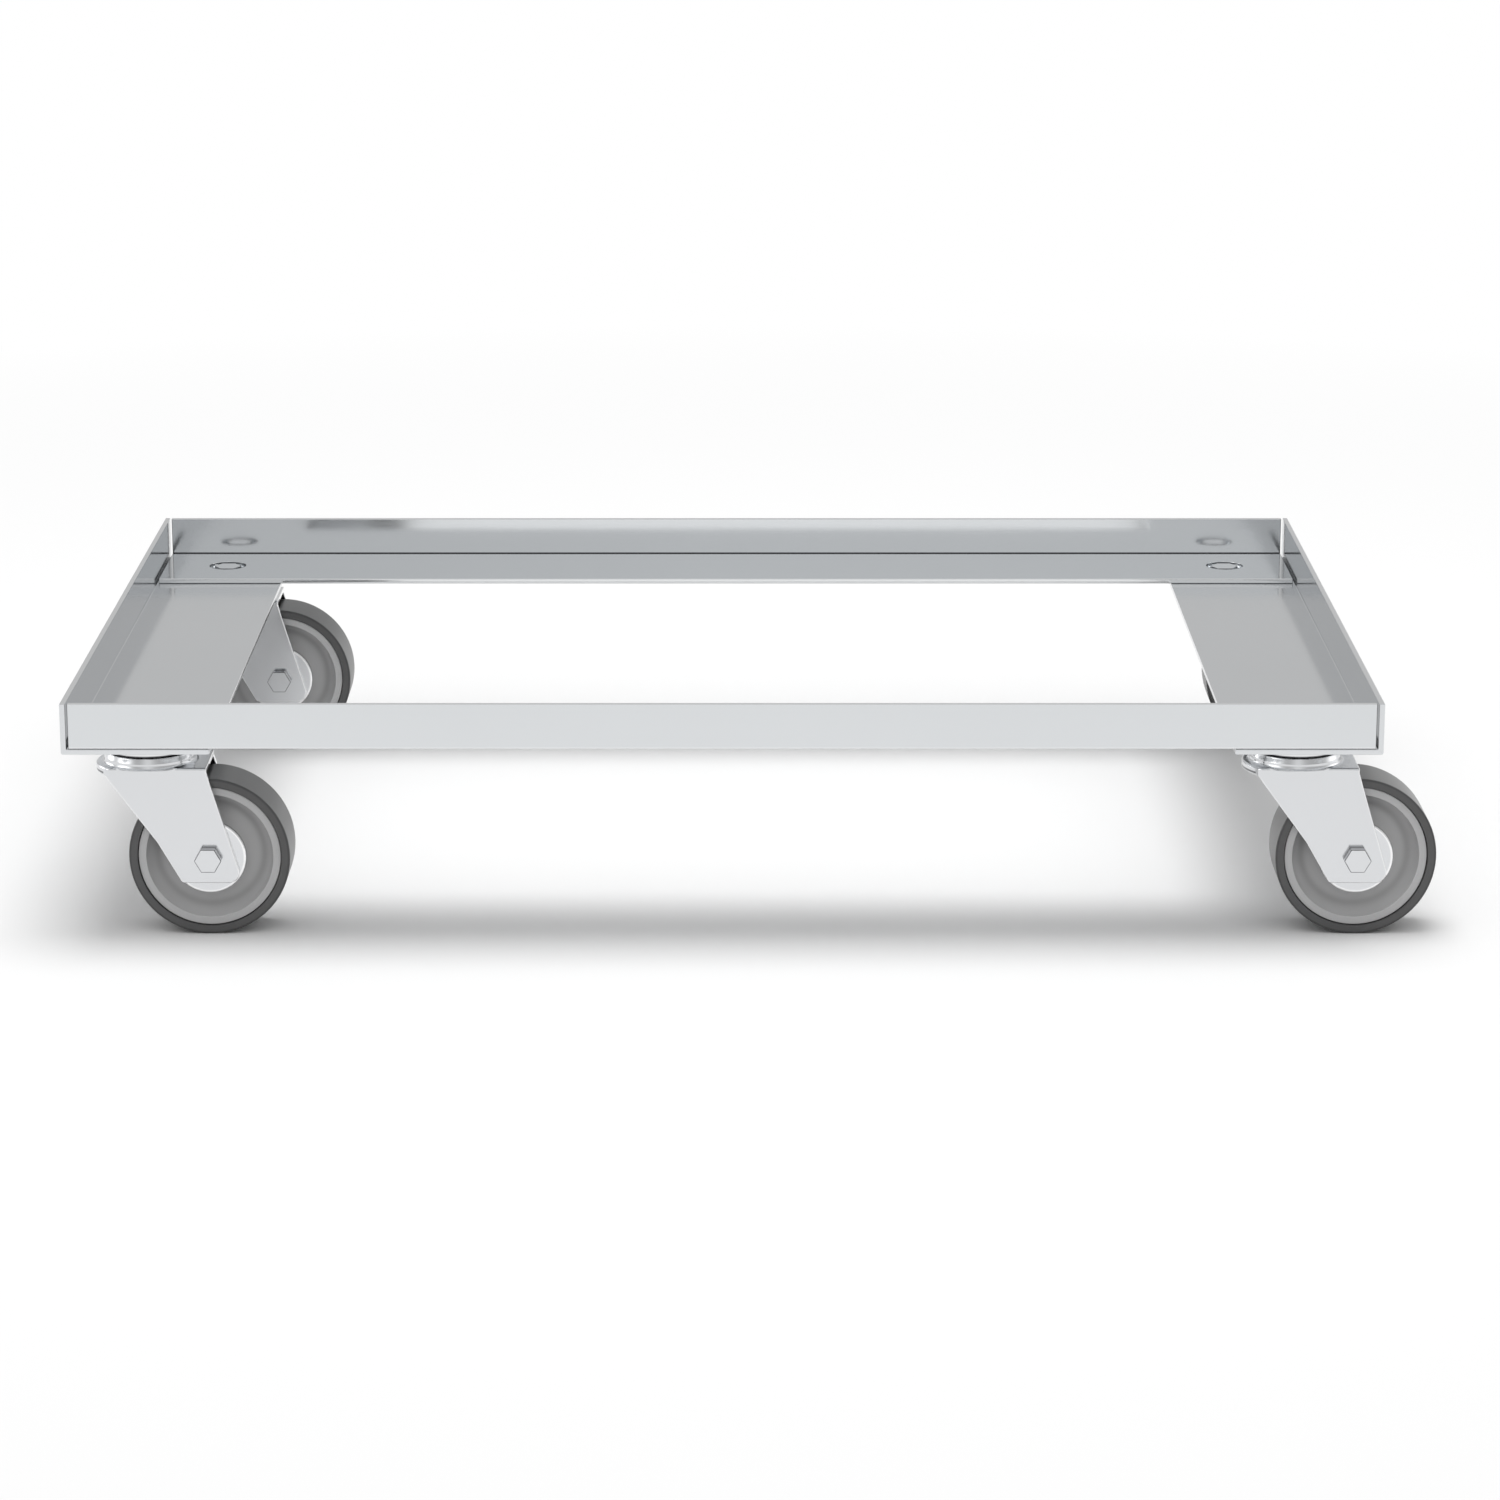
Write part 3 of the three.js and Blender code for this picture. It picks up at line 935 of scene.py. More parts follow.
    def _patch(self, hole: Hole, low: np.ndarray, high: np.ndarray, cell: np.ndarray) -> Skin:
        """The flat round a hole on both faces of the flange, with the wall of the hole.

        Rows run from the rectangle on the upper face in to the hole's eased edge, down its wall,
        and out to the rectangle on the lower face. A point of a row lies in the direction of its
        point on the rectangle. A row just inside each rectangle keeps the flat's shading flat.

        Args:
            hole: The hole.
            low: Places across the flange on the lower face.
            high: Places across the flange on the upper face.
            cell: Places along the bar.

        Returns:
            The patch.
        """
        def loop(across: np.ndarray) -> np.ndarray:
            """The rectangle's points in order.

            Args:
                across: Places across the flange.

            Returns:
                Place along and place across of each point.
            """
            return np.vstack([
                np.stack([cell[:-1], np.full(len(cell) - 1, across[0])], -1),
                np.stack([np.full(len(across) - 1, cell[-1]), across[:-1]], -1),
                np.stack([cell[:0:-1], np.full(len(cell) - 1, across[-1])], -1),
                np.stack([np.full(len(across) - 1, cell[0]), across[:0:-1]], -1),
            ])

        centre = np.array([hole.along, hole.across])
        upper, lower = loop(high), loop(low)
        way = upper - centre
        way /= np.linalg.norm(way, axis=1)[:, None]
        turn = np.radians(np.linspace(0, 90, self.hole_steps + 1))
        eased = hole.radius + self.hole_edge * (1 - np.sin(turn))
        drops = self.hole_edge * (1 - np.cos(turn))
        lead = [hole.radius + self.hole_edge + self.hole_margin]
        radii = np.concatenate([lead, eased, eased[::-1], lead])
        rows = np.concatenate([
            [upper, centre + (upper - centre) * self.patch_share],
            centre + radii[:, None, None] * way,
            [centre + (lower - centre) * self.patch_share, lower],
        ])
        sunk = np.concatenate([[0] * 3, drops, self.sheet - drops[::-1], [self.sheet] * 3])
        height = np.repeat(self.sheet - sunk[:, None], rows.shape[1], axis=1)
        return Skin.grid(np.concatenate([rows, height[..., None]], -1), False, True)

    def skin(self) -> Skin:
        """The bar with its outer fold on the axis, running along the first coordinate.

        The section is swept along the bar. The faces over each hole make room for its patch, and
        a strip between the two lines of the section closes each end.

        Returns:
            A closed surface of place along, place across and height.
        """
        outer, inside = self._lines()
        section = np.vstack([outer, inside[::-1]])
        along, inset, spans = self._stations()
        points = self._swept(section, along, inset)
        half = len(outer)
        marks = np.repeat(self._marks(half)[None], len(along), axis=0)
        marks[inset > 0] = self.end_shade_mark
        sides = Skin.grid(points, False, True)
        faces = sides.faces.reshape(len(along) - 1, len(section), 4)
        keep = np.ones(faces.shape[:2], bool)
        low = slice(self.arc_steps, self.arc_steps + self.across_steps)
        high = slice(len(section) - 1 - low.stop, len(section) - 1 - low.start)
        low_places = section[low.start: low.stop + 1, 0][::-1]
        high_places = section[high.start: high.stop + 1, 0]
        patches = []
        for hole, (first, last) in zip(self.holes, spans):
            keep[first:last, low] = False
            keep[first:last, high] = False
            patch = self._patch(hole, low_places, high_places, along[first: last + 1])
            patches.append(patch.facing(0, (0, 0, 1)))
        caps = []
        for station, way in ((0, -1), (-1, 1)):
            cap = Skin.grid(np.stack([points[station, :half], points[station, half:][::-1]]))
            cap.marks = np.full(len(cap.points), self.end_shade_mark)
            caps.append(cap.facing(self.arc_steps + 2, (way, 0, 0)))
        sides = Skin(sides.points, faces[keep], marks.ravel()).outward()
        return Skin.joined([sides, *patches, *caps])


@dataclass
class SheetFrame:
    """The four folded angles: two side angles, and two rails that lie on their flanges."""

    layout: Layout
    length: float = 607.0
    depth: float = 407.0
    upright: float = 24.0
    side_flange: float = 68.0
    rail_flange: float = 65.0
    rail_gap: float = 1.0
    head_hole: float = 9.75
    # Painted shade on the rails' cut ends, under their flange's tip and in their inner fold.
    rail_end_shade_mark: float = -0.9
    rail_fold_shade_mark: float = -1.0

    def build(self, finishes: Finishes) -> None:
        """Makes and dresses the four angles.

        Args:
            finishes: The finishes.
        """
        for side in Side:
            self._side_angle(side, finishes)
        for end in End:
            self._rail(end, finishes)

    def _finished(self, name: str, skin: Skin, height: float) -> bpy.types.Object:
        """The object of an angle whose surface is centred on the frame, at a height."""
        return make_object(name, skin.outward().moved(self.layout.middle, 0, height))

    def _side_angle(self, side: Side, finishes: Finishes) -> None:
        """Makes one side angle, which runs along Y with its flange turned inward.

        Args:
            side: Its side.
            finishes: The finishes.
        """
        layout = self.layout
        spots = [self.depth / 2 + end.value * layout.swivel_y for end in End]
        across = self.length / 2 - layout.swivel_x
        holes = [Hole(spot, across, layout.bolt_hole) for spot in spots]
        bar = FoldedAngle(self.side_flange, self.upright, self.depth, layout.frame_sheet, holes).skin()
        along, wide, high = bar.points.T
        points = np.stack([side.value * (self.length / 2 - wide), along - self.depth / 2, high], -1)
        name = side.name.lower()
        skin = Skin(points, bar.faces, bar.marks)
        piece = self._finished(f"{name}_side_sheet", skin, layout.under_frame)
        finishes.dress(piece, Finishes.SIDE, Body.FRAME.value, f"{name}_side_angle")

    def _rail(self, end: End, finishes: Finishes) -> None:
        """Makes one rail, which runs along X on the side flanges, between the uprights.

        Args:
            end: Its end.
            finishes: The finishes.
        """
        layout = self.layout
        length = self.length - 2 * (layout.frame_sheet + self.rail_gap)
        spots = [length / 2 + side.value * layout.swivel_x for side in Side]
        across = self.depth / 2 - layout.swivel_y
        holes = [Hole(spot, across, self.head_hole) for spot in spots]
        tall = self.upright - layout.frame_sheet
        bar = FoldedAngle(
            self.rail_flange,
            tall,
            length,
            layout.frame_sheet,
            holes,
            end_shade_mark=self.rail_end_shade_mark,
            fold_shade_mark=self.rail_fold_shade_mark,
            under_mark=self.rail_end_shade_mark,
        ).skin()
        along, wide, high = bar.points.T
        points = np.stack([along - length / 2, end.value * (self.depth / 2 - wide), high], -1)
        name = end.name.lower()
        skin = Skin(points, bar.faces, bar.marks)
        piece = self._finished(f"{name}_rail_sheet", skin, layout.under_frame + layout.frame_sheet)
        finishes.dress(piece, Finishes.RAIL, Body.FRAME.value, f"{name}_rail")


# Fields, for the pressed fork


def outline_distance(spots: np.ndarray, outline: np.ndarray) -> tuple[np.ndarray, np.ndarray]:
    """Distance from points to a closed outline, negative inside, and its slope.

    The distance to each side is that to the nearest point of the segment, and a point is inside
    where a line to one side of it crosses the outline an odd number of times. The slope is the
    way from the nearest point, or straight out from the segment for a point that lies on it.

    Args:
        spots: Points by two.
        outline: Corners by two.

    Returns:
        One distance and one slope for each point.
    """
    points_at_once = 20000
    on_outline = 1e-4
    shortest_squared = 1e-12
    start = outline
    step = np.roll(outline, -1, axis=0) - start
    keep = (step ** 2).sum(1) > shortest_squared
    start, step = start[keep], step[keep]
    squared = (step ** 2).sum(1)
    following = np.roll(start, -1, axis=0)
    turn = np.sign((start[:, 0] * following[:, 1] - start[:, 1] * following[:, 0]).sum())
    straight_out = turn * np.stack([step[:, 1], -step[:, 0]], -1) / np.sqrt(squared)[:, None]
    rise = np.where(step[:, 1] == 0, 1, step[:, 1])
    low, high = start[:, 1], start[:, 1] + step[:, 1]
    distances, slopes = [], []
    for part in np.array_split(spots, max(1, len(spots) // points_at_once)):
        away = part[:, None] - start
        share = np.clip((away * step).sum(-1) / squared, 0, 1)
        away = away - share[..., None] * step
        length = (away ** 2).sum(-1)
        nearest = length.argmin(1)
        row = np.arange(len(part))
        reach = np.sqrt(length[row, nearest])
        spans = (low > part[:, 1:]) != (high > part[:, 1:])
        crossing = start[:, 0] + (part[:, 1:] - low) / rise * step[:, 0]
        inside = (spans & (part[:, :1] < crossing)).sum(1) % 2 == 1
        distance = np.where(inside, -reach, reach)
        on_it = reach < on_outline
        way = away[row, nearest] / np.where(on_it, 1, distance)[:, None]
        distances.append(distance)
        slopes.append(np.where(on_it[:, None], straight_out[nearest], way))
    return np.concatenate(distances), np.concatenate(slopes)


def both(one: np.ndarray, two: np.ndarray, radius: float) -> np.ndarray:
    """Field of what is inside two fields, with the edge where they meet rounded."""
    beyond = np.hypot(np.maximum(one + radius, 0), np.maximum(two + radius, 0))
    return np.minimum(np.maximum(one, two), -radius) + beyond


def either(one: np.ndarray, two: np.ndarray, blend: float) -> np.ndarray:
    """Field of what is inside one of two fields, with the hollow between them filled a little."""
    near = np.maximum(blend - np.abs(one - two), 0) / blend
    return np.minimum(one, two) - near * near * blend / 4


def surface_net(values: np.ndarray, low: np.ndarray, step: float) -> Skin:
    """Surface where a field on a regular grid is zero.

    Each cell with both signs at its corners gets one point, the mean of the crossings on its
    edges. Each grid edge whose ends differ in sign gets the face of the four cells round it.

    Args:
        values: The field, negative inside.
        low: The grid's lowest corner.
        step: The grid's step.

    Returns:
        A closed surface with its faces outwards.
    """
    inside = values < 0
    shape = np.array(values.shape)
    offsets = list(itertools.product((0, 1), repeat=3))
    cut = [tuple(slice(o, n - 1 + o) for o, n in zip(offset, shape)) for offset in offsets]
    total = sum(inside[c].astype(np.int8) for c in cut)
    active = (total > 0) & (total < len(offsets))
    cells = np.argwhere(active)
    number = np.full(active.shape, -1, np.int64)
    number[active] = np.arange(len(cells))
    sums = np.zeros((len(cells), 3))
    counts = np.zeros(len(cells))
    for axis, offset in itertools.product(range(3), offsets):
        if offset[axis]:
            continue
        ahead = np.eye(3, dtype=int)[axis]
        start = values[tuple((cells + offset).T)]
        end = values[tuple((cells + offset + ahead).T)]
        crossed = (start < 0) != (end < 0)
        share = np.where(crossed, start / np.where(crossed, start - end, 1), 0)
        sums += crossed[:, None] * (np.array(offset) + share[:, None] * ahead)
        counts += crossed
    points = low + step * (cells + sums / counts[:, None])
    faces = []
    for axis in range(3):
        one, two = (axis + 1) % 3, (axis + 2) % 3
        lower = np.take(inside, np.arange(shape[axis] - 1), axis)
        upper = np.take(inside, np.arange(1, shape[axis]), axis)
        edges = np.argwhere(lower != upper)
        leaving = lower[tuple(edges.T)]
        corners = []
        for back_one, back_two in ((1, 1), (0, 1), (0, 0), (1, 0)):
            cell = edges.copy()
            cell[:, one] -= back_one
            cell[:, two] -= back_two
            corners.append(number[tuple(cell.T)])
        quads = np.stack(corners, -1)
        faces.append(np.where(leaving[:, None], quads, quads[:, ::-1]))
    return Skin(points, np.vstack(faces))


# Pressed fork


@dataclass(frozen=True)
class RaceDish:
    """The ball race raised out of the fork's crown.

    Each spot is a radius and a rise above the crown. From below they are the foot inside the
    crown, the flare at the crown's face, the wall, the middle of the round rim, and the plateau
    round the kingpin. The two pulls draw the curves between them. Angles are in degrees.
    """

    foot: Spot = (17.2, -1.3)
    foot_depth: float = 20.0
    flare_pull: Spot = (21.5, -0.8)
    flare: Spot = (22.0, -0.1)
    wall_pull: Spot = (21.1, 0.2)
    wall: Spot = (21.0, 2.5)
    rim: Spot = (19.5, 4.6)
    rim_radius: float = 0.8
    rim_steps: int = 6
    groove_radius: float = 2.7
    groove_start: float = -10.7
    groove_end: float = -169.3
    groove_steps: int = 24
    plateau: Spot = (12.0, 5.0)

    def outline(self, layout: Layout) -> np.ndarray:
        """Radius and height along its outer skin, closed far below the crown.

        Args:
            layout: The shared dimensions.

        Returns:
            Points by two.
        """
        crown = np.array([0, layout.crown])
        bottom = layout.crown - self.foot_depth
        race = (layout.race_radius, layout.race_height)
        return np.vstack([
            [[0, bottom], [self.foot[0], bottom], crown + self.foot],
            curve(crown + self.foot, crown + self.flare_pull, crown + self.flare),
            curve(crown + self.flare, crown + self.wall_pull, crown + self.wall),
            arc(crown + self.rim, self.rim_radius, 0, 90, self.rim_steps),
            arc(race, self.groove_radius, self.groove_start, self.groove_end, self.groove_steps),
            [crown + self.plateau, [0, layout.crown + self.plateau[1]]],
        ])


@dataclass(frozen=True)
class ForkView:
    """Side view of the fork, which its sheet is cut to.

    The skirt runs under the nose to the start of the leg. The knee is a place from the axle, as
    are the toe and the heel of the foot. Clear values reach past the crown and the nose.
    """

    clear_above: float = 9.0
    clear_ahead: float = 6.0
    skirt_front: float = 3.1
    skirt_back: float = 3.9
    leg_start: float = -19.0
    leg_round: float = 2.5
    knee: Spot = (-23.6, 7.6)
    knee_round: float = 3.0
    foot_drop: float = 11.8
    toe: float = -12.6
    toe_round: float = 2.0
    heel: float = 15.8
    heel_round: float = 5.0
    steps: int = 8

    def outline(self, layout: Layout, nose: float) -> np.ndarray:
        """Place along X and height, from the tail round the nose to the foot.

        Args:
            layout: The shared dimensions.
            nose: Radius of the nose.

        Returns:
            Points by two.
        """
        trail, crown, axle = layout.trail, layout.crown, layout.axle_height
        top, front, foot = crown + self.clear_above, -nose - self.clear_ahead, axle - self.foot_drop
        return rounded_outline([
            Corner(trail, top),
            Corner(front, top),
            Corner(front, crown - self.skirt_front),
            Corner(self.leg_start, crown - self.skirt_back, self.leg_round),
            Corner(trail + self.knee[0], axle + self.knee[1], self.knee_round),
            Corner(trail + self.toe, foot, self.toe_round),
            Corner(trail + self.heel, foot, self.heel_round),
            Corner(trail, crown - layout.fork_sheet),
        ], closed=True, steps=self.steps)


@dataclass
class PressedFork:
    """The swivel fork: one pressed sheet with a crown, two legs and a raised ball race.

    Its outer skin is where a field is zero: a hull with a round nose, joined softly to a turned
    dish. The sheet is what lies within one thickness inside that skin, cut to the side view. The
    painted highlight values are for the cut edges, the rim values for painted shade on the dish's
    rim, and the inside values for painted shade between the legs, which deepens towards the crown.
    """

    layout: Layout
    dish: RaceDish = RaceDish()
    view: ForkView = ForkView()
    nose: float = 24.9
    nose_bend: float = 1.6
    fold: float = 1.0
    edge: float = 0.35
    pin_hole: float = 6.3
    blend: float = 0.7
    grid_low: Triple = (-26.3, -23.9, 24.7)
    grid_high: Triple = (45.0, 23.9, 87.5)
    grid_step: float = 0.45
    table_step: float = 0.2
    table_reach: float = 52.0
    passes: int = 2
    painted_highlight_inset: float = 0.1
    painted_highlight_fade: float = 0.5
    rim_rise: float = 4.9
    rim_radius: float = 18.0
    rim_mark: float = -0.85
    inside_margin: float = 0.1
    inside_inset: float = 0.5
    inside_drop: float = 16.0
    inside_fade: float = 8.0
    inside_shade_mark: float = -0.9

    def _plan(self, x: np.ndarray, y: np.ndarray) -> np.ndarray:
        """Distance to the hull in plan: a round nose about the axis, and straight sides."""
        nose = np.hypot(np.minimum(x, 0), y) - self.nose
        return both(np.abs(y) - self.layout.fork_half_width, nose, self.nose_bend)

    def _level(self, spot: Sequence[np.ndarray], dish: np.ndarray, side: np.ndarray) -> np.ndarray:
        """The field of the fork.

        Args:
            spot: X, Y and Z.
            dish: Distance to the dish's outline there.
            side: Distance to the side view there.

        Returns:
            The field.
        """
        x, y, z = spot
        layout = self.layout
        hull = both(self._plan(x, y), z - layout.crown, self.fold)
        skin = either(hull, dish, self.blend)
        shell = both(np.maximum(skin, -skin - layout.fork_sheet), side, self.edge)
        shell = both(shell, self.pin_hole - np.hypot(x, y), self.edge / 2)
        to_axle = np.hypot(x - layout.trail, z - layout.axle_height)
        return both(shell, layout.bolt_hole - to_axle, self.edge / 2)

    def _grid_field(self) -> tuple[np.ndarray, np.ndarray]:
        """The field on a regular grid round the fork.

        The distance to the dish is read from a fine table of radius and height.

        Returns:
            The values, and the grid's lowest corner.
        """
        bounds = zip(self.grid_low, self.grid_high)
        x, y, z = (np.arange(low, high, self.grid_step) for low, high in bounds)
        radii = np.arange(0, self.table_reach, self.table_step)
        table_r, table_z = np.meshgrid(radii, z, indexing="ij")
        flat = np.stack([table_r.ravel(), table_z.ravel()], -1)
        table = outline_distance(flat, self.dish.outline(self.layout))[0].reshape(table_r.shape)
        across = np.hypot(x[:, None], y[None]) / self.table_step
        whole = np.floor(across).astype(int)
        part = (across - whole)[..., None]
        dish = table[whole] * (1 - part) + table[whole + 1] * part
        side_x, side_z = np.meshgrid(x, z, indexing="ij")
        flat = np.stack([side_x.ravel(), side_z.ravel()], -1)
        side = outline_distance(flat, self.view.outline(self.layout, self.nose))[0]
        side = side.reshape(side_x.shape)[:, None]
        spot = x[:, None, None], y[None, :, None], z[None, None]
        return self._level(spot, dish, side), np.array(self.grid_low)

    def _sample(self, points: np.ndarray, reach: float = 0.02) -> tuple[np.ndarray, ...]:
        """The field at points, its unit slope, and the distance to the side view.

        The slope comes from small moves both ways along each axis, in which the distances to the
        two outlines change by their own slopes.

        Args:
            points: Points by three.
            reach: Length of the moves.

        Returns:
            The field, the unit slope and the distance to the side view.
        """
        radius = np.hypot(points[:, 0], points[:, 1])
        section = np.stack([radius, points[:, 2]], -1)
        view = self.view.outline(self.layout, self.nose)
        dish, dish_slope = outline_distance(section, self.dish.outline(self.layout))
        side, side_slope = outline_distance(points[:, [0, 2]], view)

        def level(move: np.ndarray) -> np.ndarray:
            """The field after a small move.

            Args:
                move: How far the points move along X, Y and Z.

            Returns:
                The field.
            """
            x, y, z = (points + move).T
            outward = np.hypot(x, y) - radius
            near_dish = dish + dish_slope[:, 0] * outward + dish_slope[:, 1] * move[2]
            near_side = side + side_slope[:, 0] * move[0] + side_slope[:, 1] * move[2]
            return self._level((x, y, z), near_dish, near_side)

        moves = np.eye(3) * reach
        slope = np.stack([level(move) - level(-move) for move in moves], -1)
        slope /= np.maximum(np.linalg.norm(slope, axis=1), TINY)[:, None]
        return level(np.zeros(3)), slope, side

    def _marks(self, points: np.ndarray, side: np.ndarray) -> np.ndarray:
        """Painted highlights on cut edges, painted shade on the dish's rim and inside below the crown.

        Args:
            points: Points by three.
            side: Distance of each to the side view.

        Returns:
            One mark for each point.
        """
        x, y, z = points.T
        layout = self.layout
        # Painted highlight fading in from the cut edges.
        painted_highlight = np.clip(1 + (side + self.painted_highlight_inset) / self.painted_highlight_fade, 0, 1)
        rim = (z > layout.crown + self.rim_rise) & (np.hypot(x, y) > self.rim_radius)
        within_legs = np.abs(y) < layout.fork_half_width - layout.fork_sheet + self.inside_margin
        below_crown = z < layout.crown - layout.fork_sheet + self.inside_margin
        inside = within_legs & below_crown & (side < -self.inside_inset)
        depth = np.clip((z - layout.crown + self.inside_drop) / self.inside_fade, 0, 1)
        return np.where(rim, self.rim_mark, np.where(inside, self.inside_shade_mark * depth, painted_highlight))

    def skin(self) -> tuple[Skin, np.ndarray]:
        """The fork's surface about its swivel axis, and the direction that each point looks in.

        A point stands in each cell of the grid that the surface passes through, and is then moved
        along the slope of the field on to the surface, by half a step at most in each pass.

        Returns:
            The surface and the unit normals.
        """
        net = surface_net(*self._grid_field(), self.grid_step)
        points = net.points
        for _ in range(self.passes):
            level, slope, _ = self._sample(points)
            move = np.clip(level, -self.grid_step / 2, self.grid_step / 2)
            points = points - move[:, None] * slope
        _, slope, side = self._sample(points)
        return Skin(points, net.faces, self._marks(points, side)), slope


# Bolts and nuts


HEX_TURN = math.radians(60)
HEX_HALF_TURN = math.radians(30)


def hexagon_angles(reach: float = 28.6, per_side: int = 10) -> np.ndarray:
    """Angles on each side of a hexagon, out to reach degrees from its middle, short of a corner."""
    side = np.linspace(-1, 1, per_side) * math.radians(reach)
    return (np.arange(6)[:, None] * HEX_TURN + HEX_HALF_TURN + side).ravel()


def hexagon_radius(angle: np.ndarray, flats: float) -> np.ndarray:
    """Radius of a hexagon: half the width over flats, over the cosine from the side's middle."""
    return flats / 2 / np.cos((angle % HEX_TURN) - HEX_HALF_TURN)


def section_of(rows: Sequence[tuple], angle: np.ndarray) -> np.ndarray:
    """Rows of values, each a number or a value for each angle, as rows by angles by values."""
    return np.array([np.stack([value + 0 * angle for value in row], -1) for row in rows])


@dataclass(frozen=True)
class Flange:
    """The round flange of a bolt's head: its radius, edge, rise to the hexagon and rounding."""

    reach: float
    thick: float
    rise: float
    bend: float = 0.3
    bend_steps: int = 4


@dataclass
class HexBolt:
    """A bolt with an eased hexagon head, a plain shank and a threaded end.

    Heights run from the under side of the head, the head above and the shank below. The marks are
    those of the head's top, of its eased edge, in painted shade that outlines the head, and of the
    foot of its sides, in a painted contact shadow.
    """

    flats: float
    head: float
    shank: float
    thread: float = 9.0
    radius: float = 3.0
    pitch: float = 1.0
    thread_depth: float = 0.32
    rows_per_turn: int = 8
    end_chamfer: float = 0.6
    neck: float = 0.3
    run_in: float = 0.2
    flange: Flange | None = None
    bevel: float = 0.3
    bevel_steps: int = 3
    foot_bevel: float = 0.15
    margin: float = 0.1
    bevel_shade_mark: float = -0.85
    top_mark: float = 0.0
    foot_shadow_mark: float = -0.9

    def _head_rows(self, side: np.ndarray) -> list[tuple]:
        """Rows from the middle of the head's top, down its sides and out over its flange.

        Args:
            side: Radius of the hexagon at each angle.

        Returns:
            Radius, height and mark of each row.
        """
        rows = [(0, self.head, self.top_mark)]
        rows += [(side - self.bevel - self.margin, self.head, self.top_mark)]
        for turn in np.radians(np.linspace(90, 0, self.bevel_steps + 1)):
            drop = self.bevel * (1 - math.sin(turn))
            reach = side - self.bevel + self.bevel * math.cos(turn)
            rows += [(reach, self.head - drop, self.bevel_shade_mark)]
        rows += [(side, self.head - self.bevel - self.margin, 0)]
        if self.flange is None:
            return rows + [(side, self.foot_bevel, self.foot_shadow_mark), (side - self.foot_bevel, 0, 0)]
        reach, thick, bend = self.flange.reach, self.flange.thick, self.flange.bend
        slope = self.flange.rise / (reach - self.flats / 2)
        rows += [(side, thick + (reach - side) * slope, self.foot_shadow_mark)]
        corner = arc((reach - bend, thick - bend), bend, 90, 0, self.flange.bend_steps)
        rows += [(radius, height, 0) for radius, height in corner]
        return rows + [(reach, 0, 0)]

    def _shank_rows(self, angle: np.ndarray) -> list[tuple]:
        """Rows down the shank and its thread to the middle of its end.

        The thread's radius falls as a wave of height over pitch less the angle.

        Args:
            angle: The angles.

        Returns:
            Radius, height and mark of each row.
        """
        radius, end, start = self.radius, -self.shank, -self.shank + self.thread
        rows = [(radius + self.neck, 0, 0), (radius, -self.neck, 0), (radius, start + self.run_in, 0)]
        for height in np.arange(start, end, -self.pitch / self.rows_per_turn):
            wave = 0.5 - 0.5 * np.cos(2 * np.pi * height / self.pitch - angle)
            fade = min(1.0, (start - height) / self.pitch)
            limit = radius - self.end_chamfer + (height + self.shank)
            rows += [(np.minimum(radius - self.thread_depth * fade * wave, limit), height, 0)]
        return rows + [(radius - self.end_chamfer, end, 0), (0, end, 0)]

    def skin(self, axis: Axis) -> Skin:
        """The bolt along an axis.

        Args:
            axis: The axis.

        Returns:
            A closed surface.
        """
        angle = hexagon_angles()
        rows = self._head_rows(hexagon_radius(angle, self.flats)) + self._shank_rows(angle)
        section = section_of(rows, angle)
        skin = shaped_round(section, angle, axis, False)
        return Skin(skin.points, skin.faces, section[..., 2].ravel())


@dataclass
class HexNut:
    """A hexagon nut with a plain bore, chamfered at an angle on both faces."""

    flats: float
    height: float
    bore: float
    chamfer_angle: float = 28.0
    face_share: float = 0.95
    lip: float = 0.35

    def skin(self, axis: Axis) -> Skin:
        """The nut from height zero up.

        Args:
            axis: Its axis.

        Returns:
            A closed surface.
        """
        angle = hexagon_angles()
        side = hexagon_radius(angle, self.flats)
        face = self.flats / 2 * self.face_share
        drop = (side - face) * math.tan(math.radians(self.chamfer_angle))
        section = section_of([
            (self.bore, self.lip),
            (self.bore + self.lip, 0),
            (face, 0),
            (side, drop),
            (side, self.height - drop),
            (face, self.height),
            (self.bore + self.lip, self.height),
            (self.bore, self.height - self.lip),
        ], angle)
        return shaped_round(section, angle, axis, True)


# Caster


